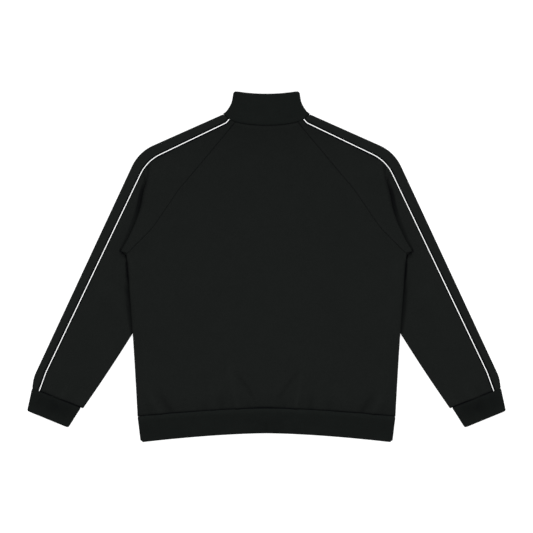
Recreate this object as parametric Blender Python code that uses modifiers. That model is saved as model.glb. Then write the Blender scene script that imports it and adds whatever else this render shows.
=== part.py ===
"""Track jacket lying face down, its sleeves angled down and folded over at each armhole.

Every cloth piece is an open sheet of sections, worked out from the garment's own sizes, that
Solidify turns into a wall. The right side is modelled and the left side is its mirror image.
X runs across the jacket, Y from the hem to the collar and Z up from the surface it lies on.
Sizes are in millimetres, and MM turns them into metres when a mesh is made.
"""

import math

import bmesh
import bpy
import numpy as np

MM = 0.001

# Walls
CLOTH = 2.0
RIB = 3.0
TAPE = 1.0
SEAM_GAP = 0.3
HALF_GAP = SEAM_GAP / 2

# Levels of the walls' middle surfaces
LAYER = CLOTH + SEAM_GAP
FRONT_LEVEL = CLOTH / 2
BACK_LEVEL = FRONT_LEVEL + LAYER
RIB_LEVEL = RIB / 2
FOLD_LAYER = CLOTH + 0.5
FOLD_LIFT = 4 * FOLD_LAYER + 0.6
UNDERLAP_LIFT = FOLD_LIFT / 2
SLEEVE_LOFT = 2.0
BODY_LOFT = 1.6
SLEEVE_SWELL = 8.6
LOFT_REACH = 60.0
PRESS_REACH = 100.0
EDGE_PRESS = 28.0
HARDWARE_RISE = 2.8
HARDWARE_REACH = (42.0, 60.0)

# Neck and collar
NECK_X = 94.0
NECK_TOP = 327.0
BACK_NECK_DROP = 24.1
BACK_NECK_POWER = 3.3
FRONT_NECK_DROP = 90.0
FRONT_NECK_GAP = 0.7
FRONT_NECK_LEAN = 8.0
FRONT_NECK_CORNER = (1.4, 0.5)
COLLAR_X = 72.0
COLLAR_TOP = 377.4
COLLAR_DIP = 6.4
FRONT_COLLAR_DROP = 79.6
COLLAR_FLARE = 4.6
COLLAR_BACK_LEVEL = 6.6
FRONT_NECK_ANGLES = (81.0, 70.0, 55.0, 47.0, 37.0, 27.0, 17.0, 9.0)
COLLAR_RISES = (0.0, 0.35, 0.6, 1.0)

# Body
ARMPIT = (299.9, 27.1)
HEM_X = 277.0
HEM_SEAM = -304.9
HEM_SEAM_DROP = 17.4
HEM_EDGE_X = 270.9
HEM_EDGE = -357.6
HEM_EDGE_DROP = 19.6
HEM_POWER = 1.6
SIDE_BOW = 1.6
HEM_BACK_LEVEL = 6.8
HEM_SIDE_LEVEL = 5.6
BACK_RAGLAN = ((66.7, 310.6, 0), (190.0, 163.0, 200), (245.0, 82.0, 120), (299.9, 27.1, 0))
FRONT_RAGLAN = ((77.0, 275.3, 0), (238.0, 90.0, 200), (299.9, 27.1, 0))

# Sleeve: the piped seam and the outer fold, with the radius of each rounded corner
PIPED_SEAM = ((80.0, 316.2, 0), (87.2, 308.3, 5), (257.0, 226.9, 90), (473.6, -227.0, 60),
              (488.2, -267.5, 0))
OUTER_FOLD = ((94.0, 327.0, 0), (99.4, 324.3, 8), (274.8, 246.2, 92), (500.1, -237.5, 60),
              (503.6, -261.4, 0))
SLEEVE_TURN = (226.0, -40.0)
SLEEVE_INNER_END = (394.3, -304.8)
SLEEVE_INNER_BOW = 3.6
CUFF_OUTER = (503.6, -261.4)
CUFF_INNER = (398.8, -303.4)
CUFF_OUTER_END = (514.4, -309.4)
CUFF_INNER_END = (425.6, -345.8)
CUFF_BACK_LEVEL = 5.3
CUFF_GAP = 0.4
CUFF_SECTIONS = (0.0, 0.35, 0.7, 1.0)

# The fold at the armhole: a flap of the shoulder lies on the sleeve, from the piping down
FLAP_ROOT = (256.0, 223.6)
FLAP_TIP = (313.0, 34.0)
FLAP_POWER = 2.1
CREASE_POWER = 2.0
CREASE_HOOK = 0.15
HIDDEN_SLEEVE_SLOPE = 0.6
FOLD_START = 0.2
FOLD_SPREAD = 17.0
TURN_OUTER = 1.5 * FOLD_LAYER
TURN_INNER = 0.5 * FOLD_LAYER
EDGE_INSET = TURN_OUTER + CLOTH / 2
FOLD_ROUNDING = 1.025
CORNER_FADE = 0.12
REACH = 55.0
MARGIN = 22.0

# Piping
PIPING_RADIUS = 1.15
PIPING_SLOT = PIPING_RADIUS + SEAM_GAP
PIPING_PROUD = 0.6

# Zip
ZIP_SLOT = 5.2
CHAIN_HALF = 3.0
CHAIN_DEPTH = 2.0
TAPE_HALF = 15.0
ZIP_TOP = 295.0
ZIP_STOP_LENGTH = 9.0
ZIP_STOP_DEPTH = 2.4
TAPE_MARGIN = 1.0
SLIDER_Y = 285.0
SLIDER_LENGTH = 12.0
SLIDER_WIDTH = 9.0
SLIDER_PLATE = 1.2
SLIDER_POST = 2.0
SLIDER_GAP = 2.6
SLIDER_RAISE = 1.5
SLIDER_REACH = (40.0, 30.0)
BRIDGE_WIDTH = 2.4
BRIDGE_BAR = 0.7
BRIDGE_CLEAR = 1.7
BRIDGE_ROOT = 0.3
BRIDGE_FOOT = 1.2
TAB_DEPTH = 1.2
TAB_WIDTH = 6.0
TAB_LENGTH = 30.0
TAB_EYE = 4.6

# Sections
PANEL_COLUMNS = 7
SIDE_ROWS = 7
COLUMN_SHARES = (0.0, 0.08, 0.14, 0.19, 0.24, 0.27, 0.29, 0.31, 0.335, 0.38, 0.55, 1.0)
TURN_STEPS = 4
RUN_STEPS = 2
FOLD_ROWS = 2 * TURN_STEPS + RUN_STEPS
FOLD_SETTLE_ROWS = 3
WRAP_STEPS = 4

# Rows of the sleeve above the fold: share of the way along each edge
SHOULDER_ROWS = (
    # piping, raglan
    (0.0, 0.0),
    (0.045, 0.07),
    (0.24, 0.22),
    (0.44, 0.38),
    (0.64, 0.55),
    (0.80, 0.70),
    (0.90, 0.85),
    (0.96, 1.0),
)
# Rows of the sleeve below the fold
ARM_ROWS = (
    # piping, inner edge
    (0.03, 0.05),
    (0.07, 0.12),
    (0.14, 0.21),
    (0.26, 0.33),
    (0.42, 0.48),
    (0.60, 0.64),
    (0.80, 0.82),
    (1.0, 1.0),
)


def smooth(value):
    share = min(max(value, 0.0), 1.0)
    return share * share * (3.0 - 2.0 * share)


def mix(start, end, share):
    return np.asarray(start, float) * (1.0 - share) + np.asarray(end, float) * share


def unit(vector):
    return np.asarray(vector, float) / np.linalg.norm(vector)


def left_of(direction):
    return np.array((-direction[1], direction[0]))


def bowed(start, end, bow, share):
    """A point on a shallow arc from start to end that bulges by bow to the left of the way."""
    chord = np.asarray(end, float) - np.asarray(start, float)
    return mix(start, end, share) + left_of(unit(chord)) * bow * 4 * share * (1 - share)


class Route:
    """A line through corners (x, y, radius) with its inner corners rounded."""

    def __init__(self, corners, arc_points=12):
        points = [np.array(corners[0][:2])]
        for before, corner, after in zip(corners, corners[1:], corners[2:]):
            place = np.array(corner[:2])
            back = unit(np.array(before[:2]) - place)
            ahead = unit(np.array(after[:2]) - place)
            half = math.acos(float(np.clip(back @ ahead, -1, 1))) / 2
            reach = corner[2] / math.tan(half)
            centre = place + unit(back + ahead) * corner[2] / math.sin(half)
            first = place + back * reach - centre
            last = place + ahead * reach - centre
            for step in range(arc_points + 1):
                spoke = unit(mix(first, last, step / arc_points))
                points.append(centre + spoke * corner[2])
        points.append(np.array(corners[-1][:2]))
        self.points = np.array(points)
        steps = np.linalg.norm(np.diff(self.points, axis=0), axis=1)
        self.along = np.concatenate(([0.0], np.cumsum(steps)))
        self.length = self.along[-1]

    def at(self, share):
        distance = share * self.length
        return np.array([np.interp(distance, self.along, self.points[:, axis]) for axis in (0, 1)])

    def ahead(self, share):
        return unit(self.at(min(share + 0.002, 1.0)) - self.at(max(share - 0.002, 0.0)))

    def nearest(self, point):
        """Share along the route of its nearest point, and the distance to it."""
        starts = self.points[:-1]
        legs = np.diff(self.points, axis=0)
        shares = ((np.asarray(point) - starts) * legs).sum(axis=1) / (legs * legs).sum(axis=1)
        shares = np.clip(shares, 0.0, 1.0)
        gaps = np.linalg.norm(starts + legs * shares[:, None] - np.asarray(point), axis=1)
        best = int(np.argmin(gaps))
        distance = mix(self.along[best], self.along[best + 1], shares[best])
        return float(distance / self.length), float(gaps[best])


SEAM = Route(PIPED_SEAM)
FOLD = Route(OUTER_FOLD)
BACK_SEAM = Route(BACK_RAGLAN)
FRONT_SEAM = Route(FRONT_RAGLAN)
FLAP_SHARE = SEAM.nearest(FLAP_ROOT)[0]
FLAP_START = SEAM.at(FLAP_SHARE)
CREASE_SHARE = FLAP_SHARE + FOLD_SPREAD / SEAM.length
CREASE_START = SEAM.at(CREASE_SHARE)


# ---------------------------------------------------------------- where the layers lie

def back_neck(x):
    return NECK_TOP - BACK_NECK_DROP * (1.0 - (abs(x) / NECK_X) ** BACK_NECK_POWER)


def front_neck(x):
    return NECK_TOP - FRONT_NECK_DROP * math.sqrt(max(0.0, 1.0 - (x / NECK_X) ** 2))


def hem_seam(x):
    return HEM_SEAM - HEM_SEAM_DROP * (x / HEM_X) ** HEM_POWER


def side_seam(share):
    """Point on the side seam, from the hem seam up to the armpit."""
    return bowed((HEM_X, HEM_SEAM - HEM_SEAM_DROP), ARMPIT, SIDE_BOW, share)


def side_x(y):
    low = HEM_SEAM - HEM_SEAM_DROP
    return side_seam(min(max((y - low) / (ARMPIT[1] - low), 0.0), 1.0))[0]


def flap_edge(share):
    x = FLAP_START[0] + (FLAP_TIP[0] - FLAP_START[0]) * share ** FLAP_POWER
    return np.array((x, FLAP_START[1] + (FLAP_TIP[1] - FLAP_START[1]) * share))


def crease(share):
    """The hidden fold under the flap, from the piping to where the sleeve turns."""
    early = max(0.0, 1.0 - share / CREASE_HOOK) ** 2
    y = flap_edge(share)[1] - (FLAP_START[1] - CREASE_START[1]) * early
    y -= (FLAP_TIP[1] - SLEEVE_TURN[1]) * share ** 3
    return np.array((crease_x(y), y))


def crease_x(y):
    share = (y - SLEEVE_TURN[1]) / (CREASE_START[1] - SLEEVE_TURN[1])
    return SLEEVE_TURN[0] + (CREASE_START[0] - SLEEVE_TURN[0]) * max(share, 0.0) ** CREASE_POWER


def fold_share(y):
    return (FLAP_START[1] - y) / (FLAP_START[1] - FLAP_TIP[1])


def cover_x(y):
    """X of the edge of the body and flap, which lie on the sleeve."""
    if y < ARMPIT[1]:
        return side_x(y)
    return float(flap_edge(min(max(fold_share(y), 0.0), 1.0))[0])


def near(distance, reach=REACH, level=MARGIN):
    """One up to a short distance from a layer below, falling to nothing over the reach."""
    return 1.0 - smooth((distance - level) / reach)


def beyond_sleeve(x, y):
    """Distance from the inner edge of the sleeve's hidden layers, towards the centre."""
    return crease_x(y) + max(SLEEVE_TURN[1] - y, 0.0) * HIDDEN_SLEEVE_SLOPE - x


def lift(x, y):
    """How far the sleeve and its fold raise the panels that lie on them."""
    edge = unit(np.subtract(FLAP_TIP, SLEEVE_TURN))
    below = float(np.dot(left_of(-edge), np.subtract((x, y), SLEEVE_TURN)))
    apex = smooth(fold_share(y) / FOLD_START)
    return UNDERLAP_LIFT * apex * near(beyond_sleeve(x, y)) * (1.0 + near(below))


def zip_raise(x, y):
    """The slider under the collar front holds the cloth off the surface a little."""
    across = near(abs(x), SLIDER_REACH[0], SLIDER_WIDTH)
    along = near(abs(y - SLIDER_Y), SLIDER_REACH[1], SLIDER_LENGTH)
    return SLIDER_RAISE * across * along


def front_height(x, y):
    return FRONT_LEVEL + lift(x, y) + zip_raise(x, y)


def back_height(x, y):
    apex = smooth(fold_share(y) / FOLD_START)
    on_fold = near(beyond_sleeve(x, y), LOFT_REACH, 0.0)
    on_fold *= smooth((y - SLEEVE_TURN[1]) / PRESS_REACH + 1.0)
    pressed = apex * max(on_fold, near(cover_x(y) - x, EDGE_PRESS, 0.0))
    loft = SLEEVE_LOFT + BODY_LOFT * smooth(SEAM.nearest((x, y))[1] / LOFT_REACH)
    hardware = math.exp(-((x / HARDWARE_REACH[0]) ** 2) - ((y - SLIDER_Y) / HARDWARE_REACH[1]) ** 2)
    return BACK_LEVEL + lift(x, y) + loft * (1.0 - pressed) + HARDWARE_RISE * hardware


def sleeve_back_height(x, y, across, along):
    """Lower sleeve: pressed flat under the flap and the body, soft beyond them."""
    free = smooth((x - cover_x(y) - 4.0) / 32.0)
    pressed = SLEEVE_LOFT * (1.0 - smooth(across / FOLD_START)) if along < 1.0 else 0.0
    loose = SLEEVE_LOFT * (1.0 - across) + SLEEVE_SWELL * across * (1.0 - across)
    return BACK_LEVEL + mix(pressed, loose, free)


# ---------------------------------------------------------------- meshes

def grid_mesh(name, grid, closed_rows=False):
    """A mesh of quads through a grid of points (rows, columns, 3), in millimetres."""
    rows, columns = grid.shape[:2]
    mesh = bmesh.new()
    corners = [[mesh.verts.new(point * MM) for point in row] for row in grid]
    for row in range(rows if closed_rows else rows - 1):
        following = corners[(row + 1) % rows]
        for column in range(columns - 1):
            face = (corners[row][column], corners[row][column + 1],
                    following[column + 1], following[column])
            mesh.faces.new(face)
    data = bpy.data.meshes.new(name)
    mesh.to_mesh(data)
    mesh.free()
    return data


def mirrored(grid):
    """The same grid on the left side, with its rows reversed so that faces keep their side."""
    return grid[::-1] * np.array((-1.0, 1.0, 1.0))


def add_object(name, data, material):
    item = bpy.data.objects.new(name, data)
    item.data.materials.append(material)
    JACKET.objects.link(item)
    item.data.shade_smooth()
    return item


def add_wall(item, thickness):
    wall = item.modifiers.new("wall", "SOLIDIFY")
    wall.thickness = thickness * MM
    wall.offset = 0.0
    wall.use_even_offset = True


def add_sheet(name, grid, thickness, material, closed_rows=False):
    item = add_object(name, grid_mesh(name, grid, closed_rows), material)
    add_wall(item, thickness)


def add_pair(name, grid, thickness, material, closed_rows=False):
    add_sheet(f"{name}_right", grid, thickness, material, closed_rows)
    add_sheet(f"{name}_left", mirrored(grid), thickness, material, closed_rows)


def add_symmetric_sheet(name, grid, thickness, material):
    """The grid's first column is on the centre line, where its mirror image joins it."""
    item = add_object(name, grid_mesh(name, grid), material)
    mirror = item.modifiers.new("mirror", "MIRROR")
    mirror.merge_threshold = 0.00005
    add_wall(item, thickness)


def coons(left, right, bottom, top, rows, columns):
    """Plan points of a patch with four edges, each given as a function of a share."""
    corner = {(v, u): np.asarray(edge(u), float) for v, edge in ((0, bottom), (1, top)) for u in (0, 1)}
    grid = np.zeros((len(rows), len(columns), 2))
    for i, v in enumerate(rows):
        for j, u in enumerate(columns):
            ruled = mix(bottom(u), top(u), v) + mix(left(v), right(v), u)
            flat = mix(mix(corner[0, 0], corner[0, 1], u), mix(corner[1, 0], corner[1, 1], u), v)
            grid[i, j] = ruled - flat
    return grid


def raised(plan, height):
    return np.array([[(x, y, height(x, y)) for x, y in row] for row in plan])


# ---------------------------------------------------------------- body panels

def panel_grid(raglan, neck, centre_x, height):
    """One half of a body panel, from the hem seam up to the neck seam."""
    raglan_shares = [share for _, share in SHOULDER_ROWS][::-1]
    right_points = [side_seam(row / SIDE_ROWS) for row in range(SIDE_ROWS)]
    right_points[0] = right_points[0] + (0, HALF_GAP)
    for share in raglan_shares:
        right_points.append(raglan.at(share) - np.abs(left_of(raglan.ahead(share))) * HALF_GAP)
    count = len(right_points)
    rows = [row / (count - 1) for row in range(count)]
    columns = [column / PANEL_COLUMNS for column in range(PANEL_COLUMNS + 1)]
    neck_x = raglan.at(0.0)[0]
    low = (centre_x, hem_seam(centre_x) + HALF_GAP)
    high = (centre_x, neck(centre_x) - HALF_GAP)

    def bottom(share):
        x = centre_x + (HEM_X - centre_x) * share
        return x, hem_seam(x) + HALF_GAP

    def top(share):
        x = centre_x + (neck_x - centre_x) * share
        return x, neck(x) - HALF_GAP

    def left(share):
        return mix(low, high, share)

    def right(share):
        return right_points[round(share * (count - 1))]

    right_points[-1] = np.array(top(1.0))
    return raised(coons(left, right, bottom, top, rows, columns), height)


# ---------------------------------------------------------------- the sleeve and its fold

def turn_angle(overlap, height, radii):
    """Angle of both turns of a fold, so that the straight run between them joins up."""
    low, high = 0.0, math.pi
    for _ in range(40):
        angle = (low + high) / 2
        run_across = radii * (1.0 - math.sin(angle)) - overlap
        run_down = height - radii * (1.0 - math.cos(angle))
        if run_across * math.sin(angle) > run_down * math.cos(angle):
            high = angle
        else:
            low = angle
    return low


def outward_of(line, share, spread):
    """Unit vector across a fold line, away from the body, turning along the piping at its start."""
    ahead = unit(line(min(share + 0.01, 1.0)) - line(max(share - 0.01, 0.0)))
    return unit(mix(unit(spread), left_of(ahead), smooth(share / CORNER_FADE)))


def fold_section(share, low_level, start_level, turns, inset):
    """Points of one sheet through the fold, from the flap down and under to the lower sleeve."""
    inward = left_of(-SEAM.ahead(FLAP_SHARE)) * inset
    spread = CREASE_START - FLAP_START

    def flap(part):
        return flap_edge(part) + inward * (1.0 - smooth(part / CORNER_FADE))

    def hidden(part):
        return crease(part) + inward * (1.0 - smooth(part / CORNER_FADE))

    rise = smooth(share / FOLD_START)
    height = FOLD_LIFT * rise
    low_z = mix(start_level, low_level, rise)
    scale = min(1.0, height / (2 * FOLD_ROUNDING * (TURN_OUTER + TURN_INNER)))
    over, under = turns[0] * scale, turns[1] * scale
    flap_out = outward_of(flap, share, spread)
    crease_out = outward_of(hidden, share, spread)
    flap_centre = flap(share) - flap_out * EDGE_INSET * rise
    crease_centre = hidden(share) + crease_out * EDGE_INSET * rise
    across = unit(flap_out + crease_out)
    overlap = float((flap_centre - crease_centre) @ across) + over + under
    angle = turn_angle(overlap, height, over + under)

    def over_turn(part):
        place = flap_centre + flap_out * over * math.sin(part)
        return np.array((*place, low_z + height - over * (1.0 - math.cos(part))))

    def under_turn(part):
        place = crease_centre - crease_out * under * math.sin(part)
        return np.array((*place, low_z + under * (1.0 - math.cos(part))))

    run = (over_turn(angle), under_turn(angle))
    lengths = (over * angle, float(np.linalg.norm(run[1] - run[0])), under * angle)
    total = sum(lengths)
    marks = [lengths[0] * step / TURN_STEPS for step in range(TURN_STEPS)]
    marks += [lengths[0] + lengths[1] * step / RUN_STEPS for step in range(RUN_STEPS)]
    marks += [total - lengths[2] * (1 - step / TURN_STEPS) for step in range(TURN_STEPS + 1)]
    settled = smooth(share / FOLD_START)
    points = []
    for index, mark in enumerate(marks):
        distance = float(mix(total * index / FOLD_ROWS, mark, settled))
        if distance < lengths[0]:
            points.append(over_turn(distance / over))
        elif distance <= lengths[0] + lengths[1]:
            points.append(mix(run[0], run[1], (distance - lengths[0]) / max(lengths[1], 1e-6)))
        else:
            points.append(under_turn((total - distance) / under))
    return points


def sleeve_inner(share):
    return bowed(SLEEVE_TURN, SLEEVE_INNER_END, -SLEEVE_INNER_BOW, share)


def sleeve_grid(raglan, levels, turns, inset, height):
    """A whole sleeve sheet, from the piped seam (first column) to the raglan and underarm seams."""
    fold = [fold_section(share, levels[0], levels[1], turns, inset) for share in COLUMN_SHARES]
    fold_rows = np.array([[column[row] for column in fold] for row in range(FOLD_ROWS + 1)])
    columns = COLUMN_SHARES

    def on_seam(share):
        return SEAM.at(share) + left_of(-SEAM.ahead(share)) * inset

    upper_left = [on_seam(piping * FLAP_SHARE) for piping, _ in SHOULDER_ROWS]
    upper_right = [raglan.at(share) + np.abs(left_of(raglan.ahead(share))) * HALF_GAP
                   for _, share in SHOULDER_ROWS]
    upper_right[0] = np.array((raglan.at(0.0)[0] + HALF_GAP, raglan.at(0.0)[1] - HALF_GAP))
    neck_end = upper_left[0]
    if inset == 0.0:
        upper_left[1] = upper_left[1] + (FRONT_NECK_LEAN, 0.0)
        corner_x = NECK_X - FRONT_NECK_CORNER[0]
        upper_left[0] = np.array((corner_x + FRONT_NECK_GAP, front_neck(corner_x) - FRONT_NECK_CORNER[1]))
        neck_end = upper_left[0]
    upper_left.append(on_seam(FLAP_SHARE))
    upper_right.append(fold_rows[0, -1, :2])
    count = len(upper_left)
    rows = [row / (count - 1) for row in range(count)]

    def neck_edge(share):
        if inset == 0.0:
            x = float(mix(neck_end[0] - FRONT_NECK_GAP, upper_right[0][0], share))
            return x + FRONT_NECK_GAP * (1.0 - share), front_neck(x) - HALF_GAP
        return mix(neck_end, upper_right[0], share)

    def flap_row(share):
        return fold_rows[0, columns.index(share), :2] if share in columns else None

    upper = coons(lambda v: upper_left[round(v * (count - 1))],
                  lambda v: upper_right[round(v * (count - 1))],
                  neck_edge, flap_row, rows, columns)
    upper = raised(upper, height)[:-1]

    below = SEAM.length * (1.0 - CREASE_SHARE)
    lower_left = [fold_rows[-1, 0, :2]]
    lower_right = [fold_rows[-1, -1, :2]]
    for piping, inner in ARM_ROWS:
        lower_left.append(on_seam(CREASE_SHARE + piping * (1.0 - CREASE_SHARE)))
        lower_right.append(sleeve_inner(inner))
    count_low = len(lower_left)
    low_rows = [row / (count_low - 1) for row in range(count_low)]
    lower = coons(lambda v: lower_left[round(v * (count_low - 1))],
                  lambda v: lower_right[round(v * (count_low - 1))],
                  lambda u: fold_rows[-1, columns.index(u), :2],
                  lambda u: mix(lower_left[-1], lower_right[-1], u),
                  low_rows, columns)[1:]
    lower_rows = []
    for index, row in enumerate(lower):
        along = min(1.0, (index + 1) / FOLD_SETTLE_ROWS)
        line = []
        for share, (x, y) in zip(columns, row):
            z = levels[0]
            if inset:
                z = sleeve_back_height(x, y, share, along)
            line.append((x, y, float(z)))
        lower_rows.append(line)
    return np.concatenate((upper, fold_rows, np.array(lower_rows)))


def wrap_columns(grid):
    """The sleeve front's outer strip: round the outer fold and back to the piped seam."""
    shares = [piping * FLAP_SHARE for piping, _ in SHOULDER_ROWS]
    shares += [float(mix(FLAP_SHARE, CREASE_SHARE, row / FOLD_ROWS)) for row in range(FOLD_ROWS + 1)]
    shares += [float(mix(CREASE_SHARE, 1.0, piping)) for piping, _ in ARM_ROWS]
    radius = SLEEVE_LOFT / 2 + LAYER / 2
    top = FRONT_LEVEL + 2 * radius
    strips = []
    for index, share in enumerate(shares):
        seam = SEAM.at(share)
        edge = FOLD.at(FOLD.nearest(seam)[0])
        if index == 0:
            edge = FOLD.at(0.0)
        if index == len(shares) - 1:
            edge = FOLD.at(1.0)
        out = unit(edge - seam)
        centre = edge - out * (radius + CLOTH / 2)
        start = seam + out * PIPING_SLOT
        strip = [(*start, top)]
        for step in range(WRAP_STEPS + 1):
            angle = math.pi * step / WRAP_STEPS
            place = centre + out * radius * math.sin(angle)
            strip.append((*place, FRONT_LEVEL + radius * (1.0 + math.cos(angle))))
        strips.append(strip)
    return np.concatenate((np.array(strips), grid), axis=1)


def add_sleeves():
    back = sleeve_grid(BACK_SEAM, (BACK_LEVEL, BACK_LEVEL + SLEEVE_LOFT), (TURN_OUTER, TURN_INNER),
                       PIPING_SLOT, back_height)
    front = sleeve_grid(FRONT_SEAM, (FRONT_LEVEL, FRONT_LEVEL), (TURN_INNER, TURN_OUTER),
                        0.0, front_height)
    add_pair("sleeve_back", back, CLOTH, KNIT)
    add_pair("sleeve_front", wrap_columns(front), CLOTH, KNIT)


def add_piping():
    shares = [piping * FLAP_SHARE for piping, _ in SHOULDER_ROWS]
    shares += [FLAP_SHARE, (FLAP_SHARE + CREASE_SHARE) / 2, CREASE_SHARE]
    shares += [float(mix(CREASE_SHARE, 1.0, piping)) for piping, _ in ARM_ROWS]
    z = BACK_LEVEL + SLEEVE_LOFT + PIPING_PROUD
    for side, name in ((1, "piping_right"), (-1, "piping_left")):
        curve = bpy.data.curves.new(name, "CURVE")
        curve.dimensions = "3D"
        curve.bevel_depth = PIPING_RADIUS * MM
        curve.bevel_resolution = 2
        curve.use_fill_caps = True
        spline = curve.splines.new("POLY")
        spline.points.add(len(shares) - 1)
        for point, share in zip(spline.points, shares):
            x, y = SEAM.at(share)
            point.co = (side * x * MM, y * MM, z * MM, 1.0)
        item = bpy.data.objects.new(name, curve)
        curve.materials.append(PIPING)
        JACKET.objects.link(item)


# ---------------------------------------------------------------- rib trims

def band_columns(low_level, high_level, fold, out):
    """Fold of a rib band: points of a half turn from the low wall to the high wall."""
    radius = (high_level - low_level) / 2
    centre = np.asarray(fold) - np.asarray(out) * (radius + RIB / 2)
    points = []
    for step in range(WRAP_STEPS + 1):
        angle = math.pi * step / WRAP_STEPS
        place = centre + np.asarray(out) * radius * math.sin(angle)
        points.append((*place, low_level + radius * (1.0 - math.cos(angle))))
    return points


def add_hem_band():
    """Each section runs from the zip, round the side fold, to the centre of the back."""
    front = [ZIP_SLOT + (HEM_X - ZIP_SLOT) * column / PANEL_COLUMNS for column in range(PANEL_COLUMNS)]
    back = [HEM_X * column / PANEL_COLUMNS for column in range(PANEL_COLUMNS)]
    sections = []
    for edge in (0.0, 0.5, 1.0):
        width = mix(HEM_X, HEM_EDGE_X, edge) / HEM_X
        section = []

        def place(x):
            lower = HEM_EDGE - HEM_EDGE_DROP * (x / HEM_X) ** HEM_POWER
            return x * width, mix(hem_seam(x) - HALF_GAP, lower, edge)

        fold = np.array(place(HEM_X))
        for x in front:
            section.append((*place(x), RIB_LEVEL))
        section += band_columns(RIB_LEVEL, HEM_SIDE_LEVEL, fold, (1.0, 0.0))
        for x in back[::-1]:
            level = mix(HEM_BACK_LEVEL, HEM_SIDE_LEVEL, smooth(x / HEM_X))
            section.append((*place(x), float(level)))
        sections.append(section[::-1])
    add_symmetric_sheet("hem_band", np.array(sections), RIB, RIB_KNIT)


def add_collar():
    """Each section runs from the centre of the back, round the side fold, to the zip."""
    raglan_x = BACK_RAGLAN[0][0]
    back = [raglan_x * column / PANEL_COLUMNS for column in range(PANEL_COLUMNS + 1)]
    back.append(PIPED_SEAM[0][0])
    front_angles = [math.radians(angle) for angle in FRONT_NECK_ANGLES]
    front_angles.append(math.asin(ZIP_SLOT / NECK_X))
    sections = []
    for rise in COLLAR_RISES:
        section = []
        flare = COLLAR_FLARE * 4 * rise * (1.0 - rise)
        for x in back:
            share = x / NECK_X
            top_x = COLLAR_X * share
            top = (top_x, COLLAR_TOP - COLLAR_DIP * (1.0 - share ** 2))
            plan = mix((x, back_neck(x) + HALF_GAP), top, rise) - (flare * share ** 2, 0.0)
            seam_level = back_height(x, back_neck(x))
            level = mix(seam_level, COLLAR_BACK_LEVEL, smooth(rise))
            section.append((*plan, float(level)))
        fold = mix((NECK_X, NECK_TOP + HALF_GAP), (COLLAR_X, COLLAR_TOP), rise) - (flare, 0.0)
        section += band_columns(RIB_LEVEL, COLLAR_BACK_LEVEL, fold, (1.0, 0.0))[::-1]
        for angle in front_angles:
            share = math.sin(angle)
            seam = (NECK_X * share, NECK_TOP - FRONT_NECK_DROP * math.cos(angle) + SEAM_GAP)
            top = (COLLAR_X * share, COLLAR_TOP - FRONT_COLLAR_DROP * math.cos(angle))
            x, y = mix(seam, top, rise) - (flare * share ** 4, 0.0)
            x = max(x, ZIP_SLOT)
            section.append((x, y, RIB_LEVEL + zip_raise(x, y)))
        sections.append(section)
    add_symmetric_sheet("collar", np.array(sections), RIB, RIB_KNIT)


def add_cuffs():
    """Each cuff is a flattened tube: sections from the seam to the open end."""
    radius = (CUFF_BACK_LEVEL - RIB_LEVEL) / 2
    along = unit(np.subtract(CUFF_OUTER_END, CUFF_OUTER))
    rings = []
    for share in CUFF_SECTIONS:
        outer = mix(CUFF_OUTER, CUFF_OUTER_END, share)
        inner = mix(CUFF_INNER, CUFF_INNER_END, share)
        if share == 0.0:
            outer = outer + along * CUFF_GAP
            inner = inner + along * CUFF_GAP
        across = unit(inner - outer)
        first = outer + across * (radius + RIB / 2)
        last = inner - across * (radius + RIB / 2)
        ring = []
        for centre, out in ((first, -across), (last, across)):
            for step in range(WRAP_STEPS + 1):
                angle = math.pi * step / WRAP_STEPS
                turn = angle if out @ across < 0 else math.pi - angle
                place = centre + out * radius * math.sin(turn)
                ring.append((*place, RIB_LEVEL + radius * (1.0 - math.cos(turn))))
            level = ring[-1][2]
            other = last if out @ across < 0 else first
            for step in (1, 2, 3):
                ring.append((*mix(centre, other, step / 4), level))
        rings.append(ring)
    grid = np.array(rings).transpose(1, 0, 2)
    add_pair("cuff", grid, RIB, RIB_KNIT, closed_rows=True)


# ---------------------------------------------------------------- zip

def cloth_depth(y):
    """Wall of the cloth beside the zip: a single panel, or doubled rib at either end."""
    hem = 1.0 - smooth((y - HEM_SEAM) / 12.0)
    neck = smooth((y - front_neck(0.0) + 12.0) / 12.0)
    return CLOTH + (RIB - CLOTH) * max(hem, neck)


def tape_level(y):
    return cloth_depth(y) + SEAM_GAP + TAPE / 2 + zip_raise(ZIP_SLOT, y)


def zip_rows(start, end):
    neck = front_neck(0.0)
    top = COLLAR_TOP - FRONT_COLLAR_DROP
    marks = [start, HEM_SEAM, HEM_SEAM + 12.0, -150.0, 20.0, 160.0, neck - 20.0, neck - 12.0, neck]
    marks += [float(mix(neck, top, rise)) for rise in COLLAR_RISES[1:-1]] + [end]
    return [y for y in marks if start <= y <= end]


def add_zip():
    tape_start = HEM_EDGE + TAPE_MARGIN
    rows = zip_rows(tape_start, ZIP_TOP)
    tape = [[(x, y, tape_level(y)) for x in (CHAIN_HALF + SEAM_GAP, TAPE_HALF)] for y in rows]
    add_pair("zip_tape", np.array(tape), TAPE, TAPE_CLOTH)
    chain_top = SLIDER_Y + SLIDER_LENGTH / 2 - SLIDER_POST - SEAM_GAP
    chain_rows = zip_rows(tape_start + ZIP_STOP_LENGTH + SEAM_GAP, chain_top)
    chain = [[(x, y, tape_level(y)) for x in (-CHAIN_HALF, CHAIN_HALF)] for y in chain_rows]
    add_sheet("zip_chain", np.array(chain), CHAIN_DEPTH, TEETH)
    box_y = tape_start + ZIP_STOP_LENGTH / 2
    add_block("zip_box", (0.0, box_y, tape_level(box_y)),
              (2 * CHAIN_HALF, ZIP_STOP_LENGTH, ZIP_STOP_DEPTH), METAL, 0.4)


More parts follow.
